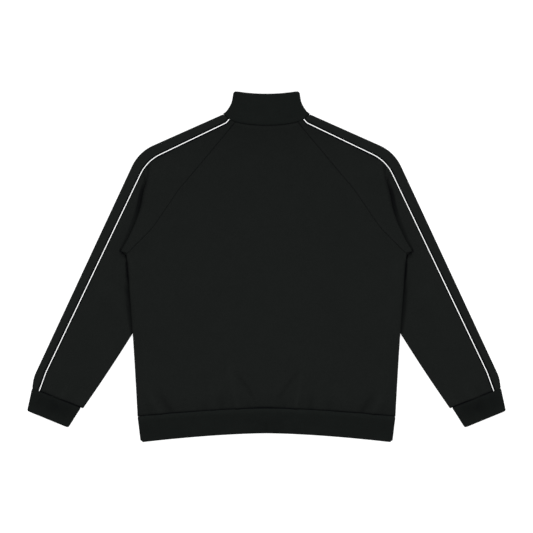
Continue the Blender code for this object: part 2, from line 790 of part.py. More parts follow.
def add_block(name, centre, size, material, bevel):
    item = add_object(name, block_mesh(name, centre, size), material)
    item.data.shade_flat()
    rounding = item.modifiers.new("rounding", "BEVEL")
    rounding.width = bevel * MM
    rounding.segments = 2
    return item


def block_mesh(name, centre, size):
    mesh = bmesh.new()
    bmesh.ops.create_cube(mesh, size=1.0)
    for corner in mesh.verts:
        corner.co = [(place + part * extent) * MM for place, part, extent in zip(centre, corner.co, size)]
    data = bpy.data.meshes.new(name)
    mesh.to_mesh(data)
    mesh.free()
    return data


def cut(item, name, centre, size, operation="DIFFERENCE"):
    """Joins a block to an object, or cuts one out of it."""
    tool = bpy.data.objects.new(name, block_mesh(name, centre, size))
    CUTTERS.objects.link(tool)
    tool.hide_render = True
    tool.display_type = "WIRE"
    boolean = item.modifiers.new(name, "BOOLEAN")
    boolean.operation = operation
    boolean.object = tool


def slider_levels():
    """Heights of the slider: chain centre, underside of its outer plate, and the tab's axis."""
    chain = tape_level(SLIDER_Y)
    outer = chain - SLIDER_GAP / 2 - SLIDER_PLATE
    return chain, outer, outer - BRIDGE_CLEAR / 2


def add_slider():
    """Two plates joined by a post ahead of the teeth, and a bridge on the outer plate."""
    chain, outer, _ = slider_levels()
    depth = SLIDER_GAP + 2 * SLIDER_PLATE
    item = add_object("zip_slider", block_mesh("zip_slider", (0.0, SLIDER_Y, chain),
                                               (SLIDER_WIDTH, SLIDER_LENGTH, depth)), METAL)
    item.data.shade_flat()
    rounding = item.modifiers.new("rounding", "BEVEL")
    rounding.width = 0.5 * MM
    rounding.segments = 2
    cut(item, "slider_channel", (0.0, SLIDER_Y - SLIDER_POST, chain),
        (SLIDER_WIDTH + 2.0, SLIDER_LENGTH, SLIDER_GAP))
    for side in (-1, 1):
        cut(item, f"slider_slot_{side}", (side * (SLIDER_POST + SLIDER_WIDTH / 2), SLIDER_Y, chain),
            (SLIDER_WIDTH, SLIDER_LENGTH + 2.0, SLIDER_GAP))
    bridge_length = SLIDER_LENGTH - 3.0
    drop = BRIDGE_CLEAR + BRIDGE_BAR
    overlap = BRIDGE_ROOT
    cut(item, "slider_bridge", (0.0, SLIDER_Y, outer - (drop - overlap) / 2),
        (BRIDGE_WIDTH, bridge_length, drop + overlap), "UNION")
    cut(item, "slider_bridge_hole", (0.0, SLIDER_Y, outer - BRIDGE_CLEAR / 2),
        (BRIDGE_WIDTH + 2.0, bridge_length - 2 * BRIDGE_FOOT, BRIDGE_CLEAR))


def add_pull_tab():
    """A flat tab whose eye passes through the bridge. Its origin is on its hinge axis."""
    _, _, axis = slider_levels()
    centre_y = (TAB_DEPTH - TAB_LENGTH) / 2
    item = add_object("zip_pull_tab", block_mesh("zip_pull_tab", (0.0, centre_y, 0.0),
                                                 (TAB_WIDTH, TAB_LENGTH, TAB_DEPTH)), METAL)
    item.location = (0.0, SLIDER_Y * MM, axis * MM)
    item.data.shade_flat()
    rounding = item.modifiers.new("rounding", "BEVEL")
    rounding.width = 0.3 * MM
    rounding.segments = 2
    eye = (0.0, SLIDER_Y - (TAB_DEPTH + TAB_EYE) / 2, axis)
    cut(item, "tab_eye", eye, (BRIDGE_WIDTH + 1.0, TAB_EYE, TAB_DEPTH + 2.0))


# ---------------------------------------------------------------- materials and the build

def new_material(name, colour, roughness, metallic=0.0):
    material = bpy.data.materials.new(name)
    material.use_nodes = True
    shader = material.node_tree.nodes["Principled BSDF"]
    shader.inputs["Base Color"].default_value = (*colour, 1.0)
    shader.inputs["Roughness"].default_value = roughness
    shader.inputs["Metallic"].default_value = metallic
    return material


for existing in list(bpy.data.objects):
    bpy.data.objects.remove(existing)

JACKET = bpy.data.collections.new("track_jacket")
CUTTERS = bpy.data.collections.new("cutters")
for collection in (JACKET, CUTTERS):
    bpy.context.scene.collection.children.link(collection)

KNIT = new_material("black_knit", (0.012, 0.013, 0.013), 0.85)
RIB_KNIT = new_material("black_rib", (0.010, 0.011, 0.011), 0.85)
PIPING = new_material("white_piping", (0.86, 0.86, 0.85), 0.6)
TAPE_CLOTH = new_material("zip_tape", (0.012, 0.012, 0.013), 0.8)
TEETH = new_material("zip_teeth", (0.02, 0.02, 0.02), 0.4)
METAL = new_material("zip_metal", (0.03, 0.03, 0.03), 0.35, 0.6)

add_symmetric_sheet("back_panel", panel_grid(BACK_SEAM, back_neck, 0.0, back_height), CLOTH, KNIT)
add_pair("front_panel", panel_grid(FRONT_SEAM, front_neck, ZIP_SLOT, front_height), CLOTH, KNIT)
add_sleeves()
add_piping()
add_collar()
add_hem_band()
add_cuffs()
add_zip()
add_slider()
add_pull_tab()
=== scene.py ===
"""The looks of a track jacket lying face down, its sleeves folded over at the armholes.

Every cloth piece is a thin shell on its solid's form, with its seams, creases and soft folds
moved into the surface. Lengths are in millimetres, and MM turns them into metres in a mesh.
"""

import math

import bmesh
import bpy
import numpy as np
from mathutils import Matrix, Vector, noise


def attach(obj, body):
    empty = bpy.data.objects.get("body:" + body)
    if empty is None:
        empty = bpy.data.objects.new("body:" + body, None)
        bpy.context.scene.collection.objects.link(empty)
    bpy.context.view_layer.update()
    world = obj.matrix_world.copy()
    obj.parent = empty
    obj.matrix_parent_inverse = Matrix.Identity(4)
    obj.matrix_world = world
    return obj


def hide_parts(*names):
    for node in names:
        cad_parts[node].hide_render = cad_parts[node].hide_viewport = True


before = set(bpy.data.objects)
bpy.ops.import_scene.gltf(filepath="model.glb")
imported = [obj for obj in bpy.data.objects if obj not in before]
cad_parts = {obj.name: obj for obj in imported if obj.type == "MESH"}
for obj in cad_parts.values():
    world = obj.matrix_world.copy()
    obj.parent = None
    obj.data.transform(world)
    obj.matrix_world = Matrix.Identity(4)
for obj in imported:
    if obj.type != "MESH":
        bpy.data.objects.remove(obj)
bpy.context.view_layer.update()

MM = 0.001
FLIP = np.array((-1.0, 1.0, 1.0))

# ---------------------------------------------------------------- sizes

CLOTH = 2.0
RIB = 3.0
TAPE = 1.0
SEAM_GAP = 0.1
HALF_GAP = SEAM_GAP / 2
LAYER = 2.3
FRONT_LEVEL = 1.0
BACK_LEVEL = FRONT_LEVEL + LAYER
RIB_LEVEL = RIB / 2
FOLD_LAYER = 2.5
FOLD_LIFT = 4 * FOLD_LAYER + 0.6
UNDERLAP_LIFT = FOLD_LIFT / 2
SLEEVE_LOFT = 2.0
BODY_LOFT = 1.6
SLEEVE_SWELL = 8.6
LOFT_REACH = 60.0
TENT_REACH = 140.0
EDGE_PRESS = 28.0
HARDWARE_RISE = 2.8
HARDWARE_REACH = (42.0, 60.0)

NECK_X = 94.0
NECK_TOP = 327.0
BACK_NECK_DROP = 24.1
BACK_NECK_CURVE = (0.59, 0.41)
FRONT_NECK_DROP = 90.0
COLLAR_X = 72.0
COLLAR_TOP = 376.8
COLLAR_DIP = 6.4
FRONT_COLLAR_DROP = 79.6
COLLAR_FLARE = 4.6
COLLAR_TUCK = (3.3, 0.05)
COLLAR_BACK_LEVEL = 6.6
COLLAR_CORNER = 9.0

ARMPIT = (299.9, 27.1)
HEM_X = 277.0
HEM_SEAM = -304.9
HEM_SEAM_DROP = 17.4
HEM_EDGE_X = 270.9
HEM_EDGE = -357.6
HEM_EDGE_DROP = 19.6
HEM_POWER = 1.6
SIDE_BOW = 1.6
HEM_BACK_LEVEL = 6.8
HEM_SIDE_LEVEL = 5.6
BACK_RAGLAN = ((66.7, 310.6, 0), (190.0, 163.0, 200), (245.0, 82.0, 120), (299.9, 27.1, 0))
FRONT_RAGLAN = ((77.0, 275.3, 0), (238.0, 90.0, 200), (299.9, 27.1, 0))

PIPED_SEAM = ((80.0, 316.2, 0), (87.2, 308.3, 5), (257.0, 226.9, 90), (473.6, -227.0, 60),
              (488.2, -267.5, 0))
OUTER_FOLD = ((94.0, 327.0, 0), (99.4, 324.3, 8), (274.8, 246.2, 92), (500.1, -237.5, 60),
              (503.6, -261.4, 0))
SLEEVE_TURN = (226.0, -40.0)
SLEEVE_INNER_END = (394.3, -304.8)
SLEEVE_INNER_BOW = 3.6
CUFF_OUTER = (503.6, -261.4)
CUFF_INNER = (398.8, -303.4)
CUFF_OUTER_END = (514.4, -309.4)
CUFF_INNER_END = (425.6, -345.8)
CUFF_BACK_LEVEL = 5.3

FLAP_ROOT = (256.0, 223.6)
FLAP_TIP = (313.0, 34.0)
FLAP_POWER = 2.1
FLAP_SWELL = (1.8, 3.4, 158.0, 30.0)
CREASE_POWER = 2.0
CREASE_HOOK = 0.15
HIDDEN_SLEEVE_SLOPE = 0.6
FOLD_START = 0.2
FOLD_SPREAD = 17.0
TURN_OUTER = 1.5 * FOLD_LAYER
TURN_INNER = 0.5 * FOLD_LAYER
EDGE_INSET = TURN_OUTER + CLOTH / 2
FOLD_ROUNDING = 1.025
CORNER_FADE = 0.12
CORNER_INSET = 1.4
REACH = 55.0
MARGIN = 22.0

PIPING_RADIUS = 0.9
PIPING_TUCK = 0.8
PIPING_PROUD = 0.6

ZIP_SLOT = 5.2
CHAIN_HALF = 3.0
TAPE_HALF = 15.0
ZIP_TOP = 295.0
ZIP_END = 1.0
ZIP_STOP_LENGTH = 9.0
SLIDER_Y = 285.0
SLIDER_LENGTH = 12.0
SLIDER_WIDTH = 9.0
SLIDER_POST = 2.0
SLIDER_RAISE = 1.5
SLIDER_REACH = (40.0, 30.0)
TOOTH_PITCH = 2.8

# Fineness of the shells
ARC_STEPS = 24
PANEL_COLUMNS = 84
FRONT_COLUMNS = 54
SIDE_ROWS = 110
SHOULDER_STEPS = 10
SLEEVE_STEPS = 4
ARM_STEPS = 15
TURN_STEPS = 8
RUN_STEPS = 4
FOLD_ROWS = 2 * TURN_STEPS + RUN_STEPS
WRAP_STEPS = 10
STRIP_STEPS = 5
PIPING_SIDES = 12
BAND_SECTIONS = 15
BAND_STEPS = 53
TAPE_ROWS = 220
COLLAR_SECTIONS = 21
CUFF_SECTIONS = 15
CUFF_STEPS = 24
CREST_STEPS = 8
EDGE_SPACING = (0.12, 0.28, 0.5, 0.75)

# Thickness of the shells' cloth: a single layer, and each layer of the doubled rib
SINGLE = 1.4
DOUBLE = 1.25

# Where the sleeve's columns lie, and how its rows step along its two long edges
COLUMN_SHARES = (0.0, 0.08, 0.14, 0.19, 0.24, 0.27, 0.29, 0.31, 0.335, 0.38, 0.55, 1.0)
SHOULDER_ROWS = (
    # piping, raglan
    (0.0, 0.0), (0.045, 0.07), (0.24, 0.22), (0.44, 0.38), (0.64, 0.55), (0.80, 0.70), (0.90, 0.85),
    (0.96, 1.0),
)
ARM_ROWS = (
    # piping, inner edge
    (0.0, 0.0), (0.03, 0.05), (0.07, 0.12), (0.14, 0.21), (0.26, 0.33), (0.42, 0.48), (0.60, 0.64),
    (0.80, 0.82), (1.0, 1.0),
)


# ---------------------------------------------------------------- curves and levels

def smooth(value):
    share = np.clip(value, 0.0, 1.0)
    return share * share * (3.0 - 2.0 * share)


def bell(distance, width):
    """One at no distance, falling away to nothing beyond about twice the width."""
    return np.exp(-((distance / width) ** 2))


def mix(start, end, share):
    return np.asarray(start, float) * (1.0 - share) + np.asarray(end, float) * share


def unit(vector):
    vector = np.asarray(vector, float)
    return vector / np.maximum(np.linalg.norm(vector, axis=-1, keepdims=True), 1e-9)


def left_of(direction):
    direction = np.asarray(direction)
    return np.stack((-direction[..., 1], direction[..., 0]), axis=-1)


def bowed(start, end, bow, share):
    """Points on a shallow arc that bulges by bow to the left of the way."""
    share = np.asarray(share, float)[..., None]
    chord = np.asarray(end, float) - np.asarray(start, float)
    return mix(start, end, share) + left_of(unit(chord)) * bow * 4 * share * (1 - share)


def finer(values, steps):
    """The rows of a table with each gap split into even steps."""
    table = np.asarray(values, float)
    places = np.arange((len(table) - 1) * steps + 1) / steps
    own = np.arange(len(table))
    if table.ndim == 1:
        return np.interp(places, own, table)
    return np.stack([np.interp(places, own, column) for column in table.T], axis=1)


class Route:
    """A line through corners (x, y, radius) with its inner corners rounded."""

    def __init__(self, corners):
        points = [np.array(corners[0][:2])]
        for before, corner, after in zip(corners, corners[1:], corners[2:]):
            place = np.array(corner[:2])
            back = unit(np.array(before[:2]) - place)
            ahead = unit(np.array(after[:2]) - place)
            half = math.acos(float(np.clip(back @ ahead, -1, 1))) / 2
            reach = corner[2] / math.tan(half)
            centre = place + unit(back + ahead) * corner[2] / math.sin(half)
            first = place + back * reach - centre
            last = place + ahead * reach - centre
            for step in range(ARC_STEPS + 1):
                points.append(centre + unit(mix(first, last, step / ARC_STEPS)) * corner[2])
        points.append(np.array(corners[-1][:2]))
        self.points = np.array(points)
        steps = np.linalg.norm(np.diff(self.points, axis=0), axis=1)
        self.along = np.concatenate(([0.0], np.cumsum(steps)))
        self.length = self.along[-1]

    def at(self, share):
        distance = np.asarray(share, float) * self.length
        return np.stack([np.interp(distance, self.along, self.points[:, axis]) for axis in (0, 1)], axis=-1)

    def ahead(self, share):
        share = np.asarray(share, float)
        return unit(self.at(np.minimum(share + 0.002, 1.0)) - self.at(np.maximum(share - 0.002, 0.0)))

    def nearest(self, x, y):
        """Shares along the route of the nearest points, and the distances to them."""
        place = np.stack((np.asarray(x, float), np.asarray(y, float)), axis=-1)[..., None, :]
        starts = self.points[:-1]
        legs = np.diff(self.points, axis=0)
        shares = ((place - starts) * legs).sum(axis=-1) / (legs * legs).sum(axis=1)
        shares = np.clip(shares, 0.0, 1.0)
        gaps = np.linalg.norm(starts + legs * shares[..., None] - place, axis=-1)
        best = np.argmin(gaps, axis=-1)
        share = np.take_along_axis(shares, best[..., None], -1)[..., 0]
        distance = mix(self.along[best], self.along[best + 1], share)
        return distance / self.length, np.take_along_axis(gaps, best[..., None], -1)[..., 0]


SEAM = Route(PIPED_SEAM)
FOLD = Route(OUTER_FOLD)
BACK_SEAM = Route(BACK_RAGLAN)
FRONT_SEAM = Route(FRONT_RAGLAN)
FLAP_SHARE = float(SEAM.nearest(*FLAP_ROOT)[0])
FLAP_START = SEAM.at(FLAP_SHARE)
CREASE_SHARE = FLAP_SHARE + FOLD_SPREAD / SEAM.length
CREASE_START = SEAM.at(CREASE_SHARE)


def back_neck(x):
    share = np.abs(x) / NECK_X
    rise = BACK_NECK_CURVE[0] * share ** 2 + BACK_NECK_CURVE[1] * share ** 8
    return NECK_TOP - BACK_NECK_DROP * (1.0 - rise)


def front_neck(x):
    return NECK_TOP - FRONT_NECK_DROP * np.sqrt(np.maximum(0.0, 1.0 - (np.asarray(x) / NECK_X) ** 2))


def hem_seam(x):
    return HEM_SEAM - HEM_SEAM_DROP * (np.abs(x) / HEM_X) ** HEM_POWER


def side_seam(share):
    """Points on the side seam, from the hem seam up to the armpit."""
    return bowed((HEM_X, HEM_SEAM - HEM_SEAM_DROP), ARMPIT, SIDE_BOW, share)


def side_x(y):
    low = HEM_SEAM - HEM_SEAM_DROP
    return side_seam(np.clip((y - low) / (ARMPIT[1] - low), 0.0, 1.0))[..., 0]


def flap_edge(share):
    """Points on the flap's edge, which swells a little beyond its solid's where it lies loose."""
    share = np.asarray(share, float)
    x = FLAP_START[0] + (FLAP_TIP[0] - FLAP_START[0]) * share ** FLAP_POWER
    y = FLAP_START[1] + (FLAP_TIP[1] - FLAP_START[1]) * share
    even, most, middle, reach = FLAP_SWELL
    swell = even * 4 * share * (1 - share) + most * bell(y - middle, reach) * smooth(share * 8)
    return np.stack((x + swell, y), axis=-1)


def crease_x(y):
    share = (y - SLEEVE_TURN[1]) / (CREASE_START[1] - SLEEVE_TURN[1])
    return SLEEVE_TURN[0] + (CREASE_START[0] - SLEEVE_TURN[0]) * np.maximum(share, 0.0) ** CREASE_POWER


def crease(share):
    """The hidden fold under the flap, from the piping to where the sleeve turns."""
    early = np.maximum(0.0, 1.0 - share / CREASE_HOOK) ** 2
    y = flap_edge(share)[..., 1] - (FLAP_START[1] - CREASE_START[1]) * early
    y = y - (FLAP_TIP[1] - SLEEVE_TURN[1]) * share ** 3
    return np.stack((crease_x(y), y), axis=-1)


def fold_share(y):
    return (FLAP_START[1] - y) / (FLAP_START[1] - FLAP_TIP[1])


def cover_x(y):
    """X of the edge of the body and flap, which lie on the sleeve."""
    flap = flap_edge(np.clip(fold_share(y), 0.0, 1.0))[..., 0]
    return np.where(y < ARMPIT[1], side_x(y), flap)


def near(distance, reach=REACH, level=MARGIN):
    """One up to a short distance from a layer below, falling to nothing over the reach."""
    return 1.0 - smooth((distance - level) / reach)


def beyond_sleeve(x, y):
    """Distance from the inner edge of the sleeve's hidden layers, towards the centre."""
    return crease_x(y) + np.maximum(SLEEVE_TURN[1] - y, 0.0) * HIDDEN_SLEEVE_SLOPE - x


def lift(x, y, reach=REACH):
    """How far the sleeve and its fold raise the panels that lie on them."""
    edge = unit(np.subtract(FLAP_TIP, SLEEVE_TURN))
    out = left_of(-edge)
    below = out[0] * (x - SLEEVE_TURN[0]) + out[1] * (y - SLEEVE_TURN[1])
    apex = smooth(fold_share(y) / FOLD_START)
    return UNDERLAP_LIFT * apex * near(beyond_sleeve(x, y), reach) * (1.0 + near(below, reach))


def zip_raise(x, y):
    across = near(np.abs(x), SLIDER_REACH[0], SLIDER_WIDTH)
    along = near(np.abs(y - SLIDER_Y), SLIDER_REACH[1], SLIDER_LENGTH)
    return SLIDER_RAISE * across * along


def front_height(x, y):
    x = np.abs(x)
    return FRONT_LEVEL + lift(x, y) + zip_raise(x, y)


def back_height(x, y):
    x = np.abs(x)
    apex = smooth(fold_share(y) / FOLD_START)
    on_fold = near(beyond_sleeve(x, y), TENT_REACH, 0.0)
    on_fold = on_fold * smooth((y - SLEEVE_TURN[1]) / TENT_REACH + 1.0)
    pressed = apex * np.maximum(on_fold, near(cover_x(y) - x, EDGE_PRESS, 0.0))
    loft = SLEEVE_LOFT + BODY_LOFT * smooth(SEAM.nearest(x, y)[1] / LOFT_REACH)
    hardware = bell(x, HARDWARE_REACH[0]) * bell(y - SLIDER_Y, HARDWARE_REACH[1])
    return BACK_LEVEL + lift(x, y, TENT_REACH) + loft * (1.0 - pressed) + HARDWARE_RISE * hardware


def sleeve_back_height(x, y, across, along):
    """Lower sleeve: pressed flat under the flap and the body, soft beyond them."""
    free = smooth((x - cover_x(y) - 4.0) / 32.0)
    pressed = SLEEVE_LOFT * (1.0 - smooth(across / FOLD_START)) * (1.0 - smooth(along))
    loose = SLEEVE_LOFT * (1.0 - across) + SLEEVE_SWELL * across * (1.0 - across)
    return BACK_LEVEL + mix(pressed, loose, free)


def cloth_depth(y):
    """Wall of the cloth beside the zip: a single panel, or doubled rib at either end."""
    hem = 1.0 - smooth((y - HEM_SEAM) / 12.0)
    neck = smooth((y - front_neck(0.0) + 12.0) / 12.0)
    return CLOTH + (RIB - CLOTH) * np.maximum(hem, neck)


def tape_level(y):
    return cloth_depth(y) + 0.3 + TAPE / 2 + zip_raise(ZIP_SLOT, y)


# ---------------------------------------------------------------- grids of points

def patch(left, right, bottom, top, columns):
    """Plan points of a patch between four edges of points."""
    u = np.asarray(columns)[None, :, None]
    v = np.linspace(0.0, 1.0, len(left))[:, None, None]
    left, right = np.asarray(left)[:, None], np.asarray(right)[:, None]
    bottom, top = np.asarray(bottom)[None], np.asarray(top)[None]
    low = mix(bottom[:, :1], bottom[:, -1:], u)
    high = mix(top[:, :1], top[:, -1:], u)
    return mix(bottom, top, v) + mix(left, right, u) - mix(low, high, v)


def with_height(plan, height):
    return np.concatenate((plan, height(plan[..., 0], plan[..., 1])[..., None]), axis=-1)


def at_level(places, level):
    return np.concatenate((places, np.full((len(places), 1), level)), axis=1)


def mirrored(grid):
    """The same grid on the left side, with its rows reversed so that faces keep their side."""
    return grid[::-1] * FLIP


def both_halves(half):
    """A grid from its right half, whose first column is on the centre line."""
    return np.concatenate((half[:, :0:-1] * FLIP, half), axis=1)


def closer_lines(grid, axis, first, last):
    """The grid with more lines near the chosen edges, where seams and folds turn tightly."""
    count = grid.shape[axis]
    places = list(range(count))
    if first:
        places = [0.0, *EDGE_SPACING] + places[1:]
    if last:
        places = places[:-1] + [count - 1 - share for share in EDGE_SPACING[::-1]] + [count - 1.0]
    low = np.floor(places).astype(int)
    high = np.minimum(low + 1, count - 1)
    shape = [1] * grid.ndim
    shape[axis] = len(places)
    share = (np.array(places) - low).reshape(shape)
    return mix(np.take(grid, low, axis), np.take(grid, high, axis), share)


def closer_edges(grid):
    return closer_lines(closer_lines(grid, 0, True, True), 1, True, True)


def with_rows(grid):
    """The grid with closer lines along its edges, and the row that each point had before."""
    rows = np.arange(len(grid))[:, None] * np.ones((1, grid.shape[1]))
    marked = closer_edges(np.concatenate((grid, rows[..., None]), axis=-1))
    return marked[..., :3], marked[..., 3]


def pair(grid, painted_shade_and_tone):
    """A right piece and its mirror image: the name, grid, and painted shade and tone of each."""
    return ("right", grid, painted_shade_and_tone), ("left", mirrored(grid), painted_shade_and_tone[::-1])


def lengths(grid, axis):
    """How far each point is along its line, from the first edge."""
    steps = np.linalg.norm(np.diff(grid, axis=axis), axis=-1)
    pad = [(0, 0), (0, 0)]
    pad[axis] = (1, 0)
    return np.pad(np.cumsum(steps, axis=axis), pad)


def normals(grid, closed=False):
    if closed:
        along = np.roll(grid, -1, axis=0) - np.roll(grid, 1, axis=0)
    else:
        along = np.gradient(grid, axis=0)
    return unit(np.cross(np.gradient(grid, axis=1), along))


def seam_profile(distance, depth, ridge, width):
    """A seam seen across: it dips at the edge, beside the small ridge of its allowance."""
    return ridge * bell(distance - 2.8 * width, 1.5 * width) - depth * bell(distance, width)


# The deepest of several painted shades at each point
def deepest(*painted_shades):
    return np.stack(painted_shades).max(axis=0)


def soft_lines(x, y, lines):
    """Creases and folds: each runs from a root to a tip, where it fades out."""
    total = np.zeros(np.shape(x))
    for x0, y0, x1, y1, width, height, bend in lines:
        run = np.array((x1 - x0, y1 - y0))
        size = np.linalg.norm(run)
        along = ((x - x0) * run[0] + (y - y0) * run[1]) / size ** 2
        across = ((y - y0) * run[0] - (x - x0) * run[1]) / size
        across = across - bend * 4 * along * (1 - along)
        spread = width * (0.7 + 0.6 * np.clip(along, 0, 1))
        fade = smooth((along + 0.12) / 0.2) * (1.0 - smooth((along - 0.35) / 0.65))
        total += height * fade * bell(across, spread)
    return total


def undulation(grid, height, size, seed):
    """Slight unevenness of cloth that lies loose."""
    flat = grid.reshape(-1, 3)
    values = [noise.noise(Vector((point[0] / size, point[1] / size, seed))) for point in flat]
    return height * np.array(values).reshape(grid.shape[:2])


# ---------------------------------------------------------------- meshes

def in_scene(data):
    """A new object of the data, under the data's own name."""
    item = bpy.data.objects.new(data.name, data)
    bpy.context.scene.collection.objects.link(item)
    return item


def join_jacket(item, node, material):
    """Gives a piece its finish, the body it rides on and the solid it replaces."""
    item.data.materials.append(material)
    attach(item, "jacket")
    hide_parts(node)


def sheet_mesh(name, grid, closed=False, painted_shade_and_tone=None):
    """A mesh of quads through a grid of points, with a UV map in metres along its two ways.

    The painted shade and tone of each point, from 0 to 1: painted shade in seams and beside edges that
    overlap it, and on some pieces the cloth's own darker tone.
    """
    rows, columns = grid.shape[:2]
    index = np.arange(rows * columns).reshape(rows, columns)
    following = np.roll(index, -1, axis=0) if closed else index[1:]
    own = index if closed else index[:-1]
    faces = np.stack((own[:, :-1], own[:, 1:], following[:, 1:], following[:, :-1]), axis=-1)
    data = bpy.data.meshes.new(name)
    data.from_pydata((grid.reshape(-1, 3) * MM).tolist(), [], faces.reshape(-1, 4).tolist())
    across = lengths(grid, 1)
    across = across - across[:, columns // 2][:, None]
    along = lengths(grid, 0)
    places = np.stack((across, along), axis=-1).reshape(-1, 2) * MM
    layer = data.uv_layers.new(name="cloth")
    corners = np.zeros(len(data.loops), int)
    data.loops.foreach_get("vertex_index", corners)
    layer.data.foreach_set("uv", places[corners].ravel())
    # The painted shade and tone, kept on the points for the shader
    if painted_shade_and_tone is not None:
        depth = data.attributes.new("painted_shade_and_tone", "FLOAT", "POINT")
        depth.data.foreach_set("value", np.clip(painted_shade_and_tone, 0.0, 1.0).ravel())
    return data


def cloth_piece(node, kind, grid, thickness, material, closed=False, painted_shade_and_tone=None):
    """One cut piece, in place of the solid on a node: a shell through the middle of its cloth."""
    item = in_scene(sheet_mesh(f"{node}_{kind}", grid, closed, painted_shade_and_tone))
    wall = item.modifiers.new("wall", "SOLIDIFY")
    wall.thickness = thickness * MM
    wall.offset = 0.0
    wall.use_even_offset = False
    bpy.ops.object.select_all(action="DESELECT")
    item.select_set(True)
    bpy.context.view_layer.objects.active = item
    bpy.ops.object.modifier_apply(modifier=wall.name)
    item.data.shade_smooth()
    join_jacket(item, node, material)
    return item


def knit_piece(node, grid, painted_shade_and_tone=None):
    return cloth_piece(node, "knit", grid, SINGLE, BLACK_KNIT, painted_shade_and_tone=painted_shade_and_tone)


def rib_piece(node, grid, painted_shade_and_tone, closed=False):
    return cloth_piece(node, "rib", grid, DOUBLE, BLACK_RIB, closed, painted_shade_and_tone)


def area_of(grid):
    """Area of a grid's surface in square metres."""
    one = np.cross(grid[1:, :-1] - grid[:-1, :-1], grid[:-1, 1:] - grid[:-1, :-1])
    two = np.cross(grid[1:, :-1] - grid[1:, 1:], grid[:-1, 1:] - grid[1:, 1:])
    return float((np.linalg.norm(one, axis=-1) + np.linalg.norm(two, axis=-1)).sum() / 2) * MM * MM


# ---------------------------------------------------------------- shaders

class Socket:
    """A shader value whose arithmetic adds Math nodes."""

    def __init__(self, tree, link):
        self.tree = tree
        self.link = link

    def calculate(self, operation, *values):
        return self.tree.add("ShaderNodeMath", {"operation": operation}, dict(enumerate(values)))

    def __add__(self, other):
        return self.calculate("ADD", self, other)

    def __radd__(self, other):
        return self.calculate("ADD", other, self)

    def __sub__(self, other):
        return self.calculate("SUBTRACT", self, other)

    def __rsub__(self, other):
        return self.calculate("SUBTRACT", other, self)

    def __mul__(self, other):
        return self.calculate("MULTIPLY", self, other)

    def __rmul__(self, other):
        return self.calculate("MULTIPLY", other, self)

    def __pow__(self, other):
        return self.calculate("POWER", self, other)

    def sine(self):
        return self.calculate("SINE", self)

    def fraction(self):
        return self.calculate("FRACT", self)

    def size(self):
        return self.calculate("ABSOLUTE", self)


class Finish:
    """A material and its node tree."""

    def __init__(self, name):
        self.material = bpy.data.materials.new(name)
        self.material.use_nodes = True
        self.nodes = self.material.node_tree.nodes
        self.links = self.material.node_tree.links
        self.shader = self.nodes["Principled BSDF"]

    def add(self, kind, settings=None, sockets=None, output=0):
        node = self.nodes.new(kind)
        for name, value in (settings or {}).items():
            setattr(node, name, value)
        for name, value in (sockets or {}).items():
            self.put(node.inputs[name], value)
        return Socket(self, node.outputs[output])

    def put(self, socket, value):
        if isinstance(value, Socket):
            self.links.new(value.link, socket)
        else:
            socket.default_value = value

    def surface(self, **sockets):
        for name, value in sockets.items():
            self.put(self.shader.inputs[name.replace("_", " ")], value)

    def uv(self):
        """The two ways of the cloth, in metres."""
        place = self.add("ShaderNodeTexCoord", output="UV")
        parts = self.add("ShaderNodeSeparateXYZ", sockets={0: place})
        return parts, Socket(self, parts.link.node.outputs[1])

    def noise(self, scale, detail, rough=0.5):
        place = self.add("ShaderNodeTexCoord", output="Object")
        return self.add("ShaderNodeTexNoise", {"noise_dimensions": "3D"},
                        {"Vector": place, "Scale": scale, "Detail": detail, "Roughness": rough})

    def tones(self, share, dark, light):
        """A colour between two tones, of which the first may be another node's."""
        first = dark if isinstance(dark, Socket) else (*dark, 1.0)
        return self.add("ShaderNodeMix", {"data_type": "RGBA"},
                        {0: share, 6: first, 7: (*light, 1.0)}, output=2)

    def coat(self, colour, roughness, height, depth, strength, gloss, **more):
        """Gives the surface its colour, sheen and bump, and returns the finished material."""
        bump = self.add("ShaderNodeBump", {},
                        {"Height": height, "Distance": depth * MM, "Strength": strength})
        self.surface(Base_Color=colour, Roughness=roughness, Normal=bump, Specular_IOR_Level=gloss, **more)
        return self.material


# Spacing of the stitch columns, the stitch rows and the rib furrows
WALE = 0.9
COURSE = 0.75
RIB_PITCH = 2.4

# Painted shade: tones of black cloth in shade, and in the deepest shade
SHADOW = (0.0009, 0.0011, 0.0010)
DEEP_SHADOW = (0.0011, 0.0010, 0.0022)


def knit_height(finish, ribbed):
    """Columns of V-shaped stitches, and for rib the furrows between pairs of columns."""
    across, along = finish.uv()
    column = (across * (1000.0 / WALE)).fraction()
    side = (column - 0.5).size() * 2.0
    row = along * (1000.0 / COURSE) + side * 0.55
    legs = 1.0 - (side * 2.0 - 1.0).size()
    stitches = ((row * (2 * math.pi)).sine() * 0.5 + 0.5) * legs
    if not ribbed:
        return stitches
    furrow = (across * (2 * math.pi * 1000.0 / RIB_PITCH)).sine() * 0.5 + 0.5
    return stitches * 0.5 + furrow


def knit_finish(name, dark, light, ribbed=False):
    finish = Finish(name)
    fleck = finish.noise(420.0, 3.0, 0.6)
    cloud = finish.noise(30.0, 3.0)
    share = finish.add("ShaderNodeMapRange", {"clamp": True},
                       {0: fleck * 0.87 + cloud * 0.13, 1: 0.33, 2: 0.67, 3: 0.0, 4: 1.0})
    fuzz = finish.noise(1500.0, 2.0, 0.7)
    height = knit_height(finish, ribbed) + fuzz * 0.9 + fleck * 0.8
    # Painted shade and tone from the mesh: the cloth darkens towards SHADOW, and towards DEEP_SHADOW where
    # the painted shade is deepest
    painted_shade_and_tone = finish.add("ShaderNodeAttribute", {"attribute_name": "painted_shade_and_tone"}, output="Fac")
    colour = finish.tones(painted_shade_and_tone, finish.tones(share, dark, light), SHADOW)
    colour = finish.tones(painted_shade_and_tone ** 2.4, colour, DEEP_SHADOW)
    return finish.coat(colour, 0.82 + fleck * 0.16, height, 0.25, 0.55, gloss=0.03)


